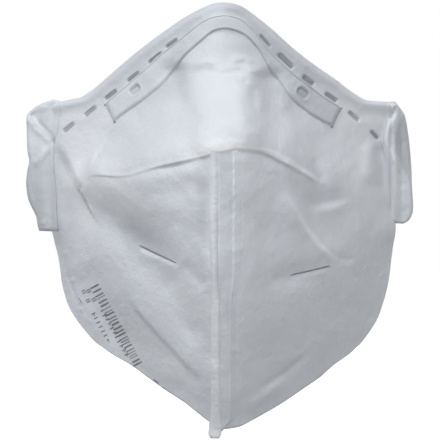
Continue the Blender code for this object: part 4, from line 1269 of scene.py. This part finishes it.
def build_loop(side):
    x, y, z = [v / MM for v in JOINTS[f"{side}_loop_swing"]]
    low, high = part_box(f"ear_loop_{side}")
    half = (high.z - low.z) / MM / 2 - 1.3
    count, sides = 260, 20
    line = resample(loop_line(high.y / MM - y - CORD_RADIUS, half), count)
    tangent = np.gradient(line, axis=0)
    tangent /= np.linalg.norm(tangent, axis=1)[:, None]
    # the ends are pressed flatter and sit further back
    full = smooth(2.5, 9.0, from_ends(count) / count * 190.0)[:, None]
    in_plane = CORD_RADIUS * (0.60 + 0.40 * full)
    sideways = CORD_RADIUS * (0.72 + 0.28 * full)
    sway = 0.9 * np.sin(np.linspace(0, math.pi, count))[:, None] ** 2
    sway = sway * (1 if side == "left" else -1)
    share = np.arange(sides) / sides
    angle = share * 2 * math.pi
    offset = np.cos(angle) * in_plane
    rings = points(x + sway + np.sin(angle) * sideways,
                   y + line[:, :1] - tangent[:, 1:] * offset + 0.75 * (1 - full),
                   z + line[:, 1:] + tangent[:, :1] * offset)
    lengths = np.linalg.norm(np.diff(line, axis=0), axis=1)
    run = np.concatenate([[0], np.cumsum(lengths)])
    attributes = {"run": np.repeat(run[:, None], sides, 1), "turn": np.tile(share, (count, 1))}
    made = capped_tube(f"ear_cord_{side}", rings * MM, [M_CORD], attributes)
    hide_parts(f"ear_loop_{side}")
    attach(made, f"{side}_loop")
    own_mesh(made)


# ---------------------------------------------------------------- nose foam, inside the bridge
def build_foam(shell_z, shell_inner):
    reach, half_height = 27, 4.4
    along = np.linspace(-reach, reach, 90)
    middle = (monotone(CLIP_LOW, along) + monotone(CLIP_HIGH, along)) / 2 - 1.0
    across = np.linspace(-1, 1, 14)
    slope = np.gradient(middle, along)
    level = (1 / np.sqrt(1 + slope**2))[:, None]
    x = along[:, None] - slope[:, None] * level * across * half_height
    z = middle[:, None] + level * across * half_height
    column = np.interp(x, COLUMNS, np.arange(len(COLUMNS)))
    face = np.zeros(x.shape)
    for place in np.ndindex(x.shape):
        i = int(round(column[place]))
        face[place] = np.interp(z[place], shell_z[i], shell_inner[i])
    ends = smooth(0, 2.0, np.minimum(along + reach, reach - along))[:, None]
    ease = smooth(0.0, 0.35, 1 - np.abs(across)) * ends
    front = points(x, SIDE_Y - face + 0.25, z)
    back = points(x, SIDE_Y - face + 1.1 + 2.2 * ease, z)
    made = closed_sheet("nose_pad", stretched(front), stretched(back), [M_FOAM])
    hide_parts("nose_foam")
    bend(made)


# ---------------------------------------------------------------- stage, light, camera
def floor_material():
    """Paper that glows for the camera and bounces little light onto the mask."""
    nodes, paper = new_material("floor_paper")
    nodes.fill(paper, {"Base Color": (0.86, 0.86, 0.86), "Roughness": 0.9})
    ray = nodes.add("LightPath")
    glow = nodes.add("Emission", {"Strength": 1.0, "Color": (0.78, 0.78, 0.78)})
    seen = nodes.add("AddShader", {0: paper.outputs[0], 1: glow.outputs[0]})
    mixed = nodes.add("MixShader", {0: ray.outputs["Is Camera Ray"]})
    dim = nodes.add("BsdfDiffuse", {"Color": (0.34, 0.34, 0.34)})
    nodes.fill(mixed, {1: dim.outputs[0], 2: seen.outputs[0]})
    nodes.fill(nodes.tree.nodes["Material Output"], {"Surface": mixed.outputs[0]})
    return nodes.owner


def build_floor():
    half, level = 6.0, -0.0006
    mesh = bpy.data.meshes.new("floor")
    corners = [(x * half, y * half, level) for x, y in ((-1, -1), (1, -1), (1, 1), (-1, 1))]
    mesh.from_pydata(corners, [], [(0, 1, 2, 3)])
    make_object(mesh, [floor_material()])


def build_world():
    """Plain white to the camera; its light is softer from behind (+Y)."""
    strength_front, strength_behind = 0.43, 0.14
    world = bpy.data.worlds.new("studio")
    bpy.context.scene.world = world
    nodes = Nodes(world)
    light = nodes.tree.nodes["Background"]
    nodes.fill(light, {"Color": (0.93, 0.96, 1.0), "Strength": strength_front})
    way = nodes.add("TexCoord").outputs["Generated"]
    axes = nodes.add("SeparateXYZ", {0: way})
    span = nodes.add("MapRange", {
        "Value": axes.outputs[1], "From Min": 0.05, "From Max": 0.70,
        "To Min": strength_front, "To Max": strength_behind,
    })
    span.interpolation_type = "SMOOTHSTEP"
    nodes.fill(light, {"Strength": span.outputs[0]})
    seen = nodes.add("Background", {"Color": (1.0, 1.0, 1.0)})
    ray = nodes.add("LightPath").outputs["Is Camera Ray"]
    pick = nodes.add("MixShader", {0: ray, 1: light.outputs[0], 2: seen.outputs[0]})
    nodes.fill(nodes.tree.nodes["World Output"], {"Surface": pick.outputs[0]})


def area_light(name, location, size, power, colour):
    """Square light aimed at the middle of the mask."""
    target = Vector((0.0, 0.02, 0.08))
    light = bpy.data.lights.new(name, "AREA")
    light.shape = "RECTANGLE"
    light.size = light.size_y = size
    light.energy = power
    light.color = colour
    lamp = bpy.data.objects.new(name, light)
    lamp.location = location
    lamp.rotation_euler = (target - Vector(location)).to_track_quat("-Z", "Y").to_euler()
    bpy.context.scene.collection.objects.link(lamp)


def build_camera():
    """Long lens in front of the mask, looking along +Y."""
    distance, view_width, sensor = 2.4, 0.154, 36.0
    lens = bpy.data.cameras.new("camera")
    camera = bpy.data.objects.new("camera", lens)
    bpy.context.scene.collection.objects.link(camera)
    camera.location = (0.0003, SIDE_Y * MM - 0.040 - distance, 0.0762)
    camera.rotation_euler = (math.radians(90), 0, 0)
    lens.sensor_width = sensor
    lens.lens = sensor * distance / view_width
    lens.clip_end = 20.0
    bpy.context.scene.camera = camera


# ---------------------------------------------------------------- build everything
shell, shell_z, shell_inner = build_shell()
bending = [
    shell,
    build_strip(),
    build_bead(),
    build_flange(),
    laid_set("batch_marks", mark_bars(), M_INK),
    # dark bars painted as the shadow in the two slits
    laid_set("slit_shadows", slit_shadow_bars(), M_CUT, thickness=0.40),
    laid_set("weld_dots", dot_bars(), M_CUT),
]
for piece in bending:
    bend(piece)
for side in ("left", "right"):
    build_tab(side)
for side in ("left", "right"):
    build_loop(side)
build_foam(shell_z, shell_inner)

build_floor()
build_world()
area_light("key", (-0.50, -1.12, 1.34), size=1.15, power=20.2, colour=(0.95, 0.975, 1.0))
area_light("back", (0.25, 1.7, 0.30), size=1.2, power=20.0, colour=(0.97, 0.985, 1.0))
area_light("fill", (1.2, -1.5, 0.25), size=1.2, power=6.8, colour=(1.0, 0.985, 0.97))
build_camera()
bpy.context.scene.view_settings.view_transform = "Standard"
bpy.context.scene.view_settings.look = "None"
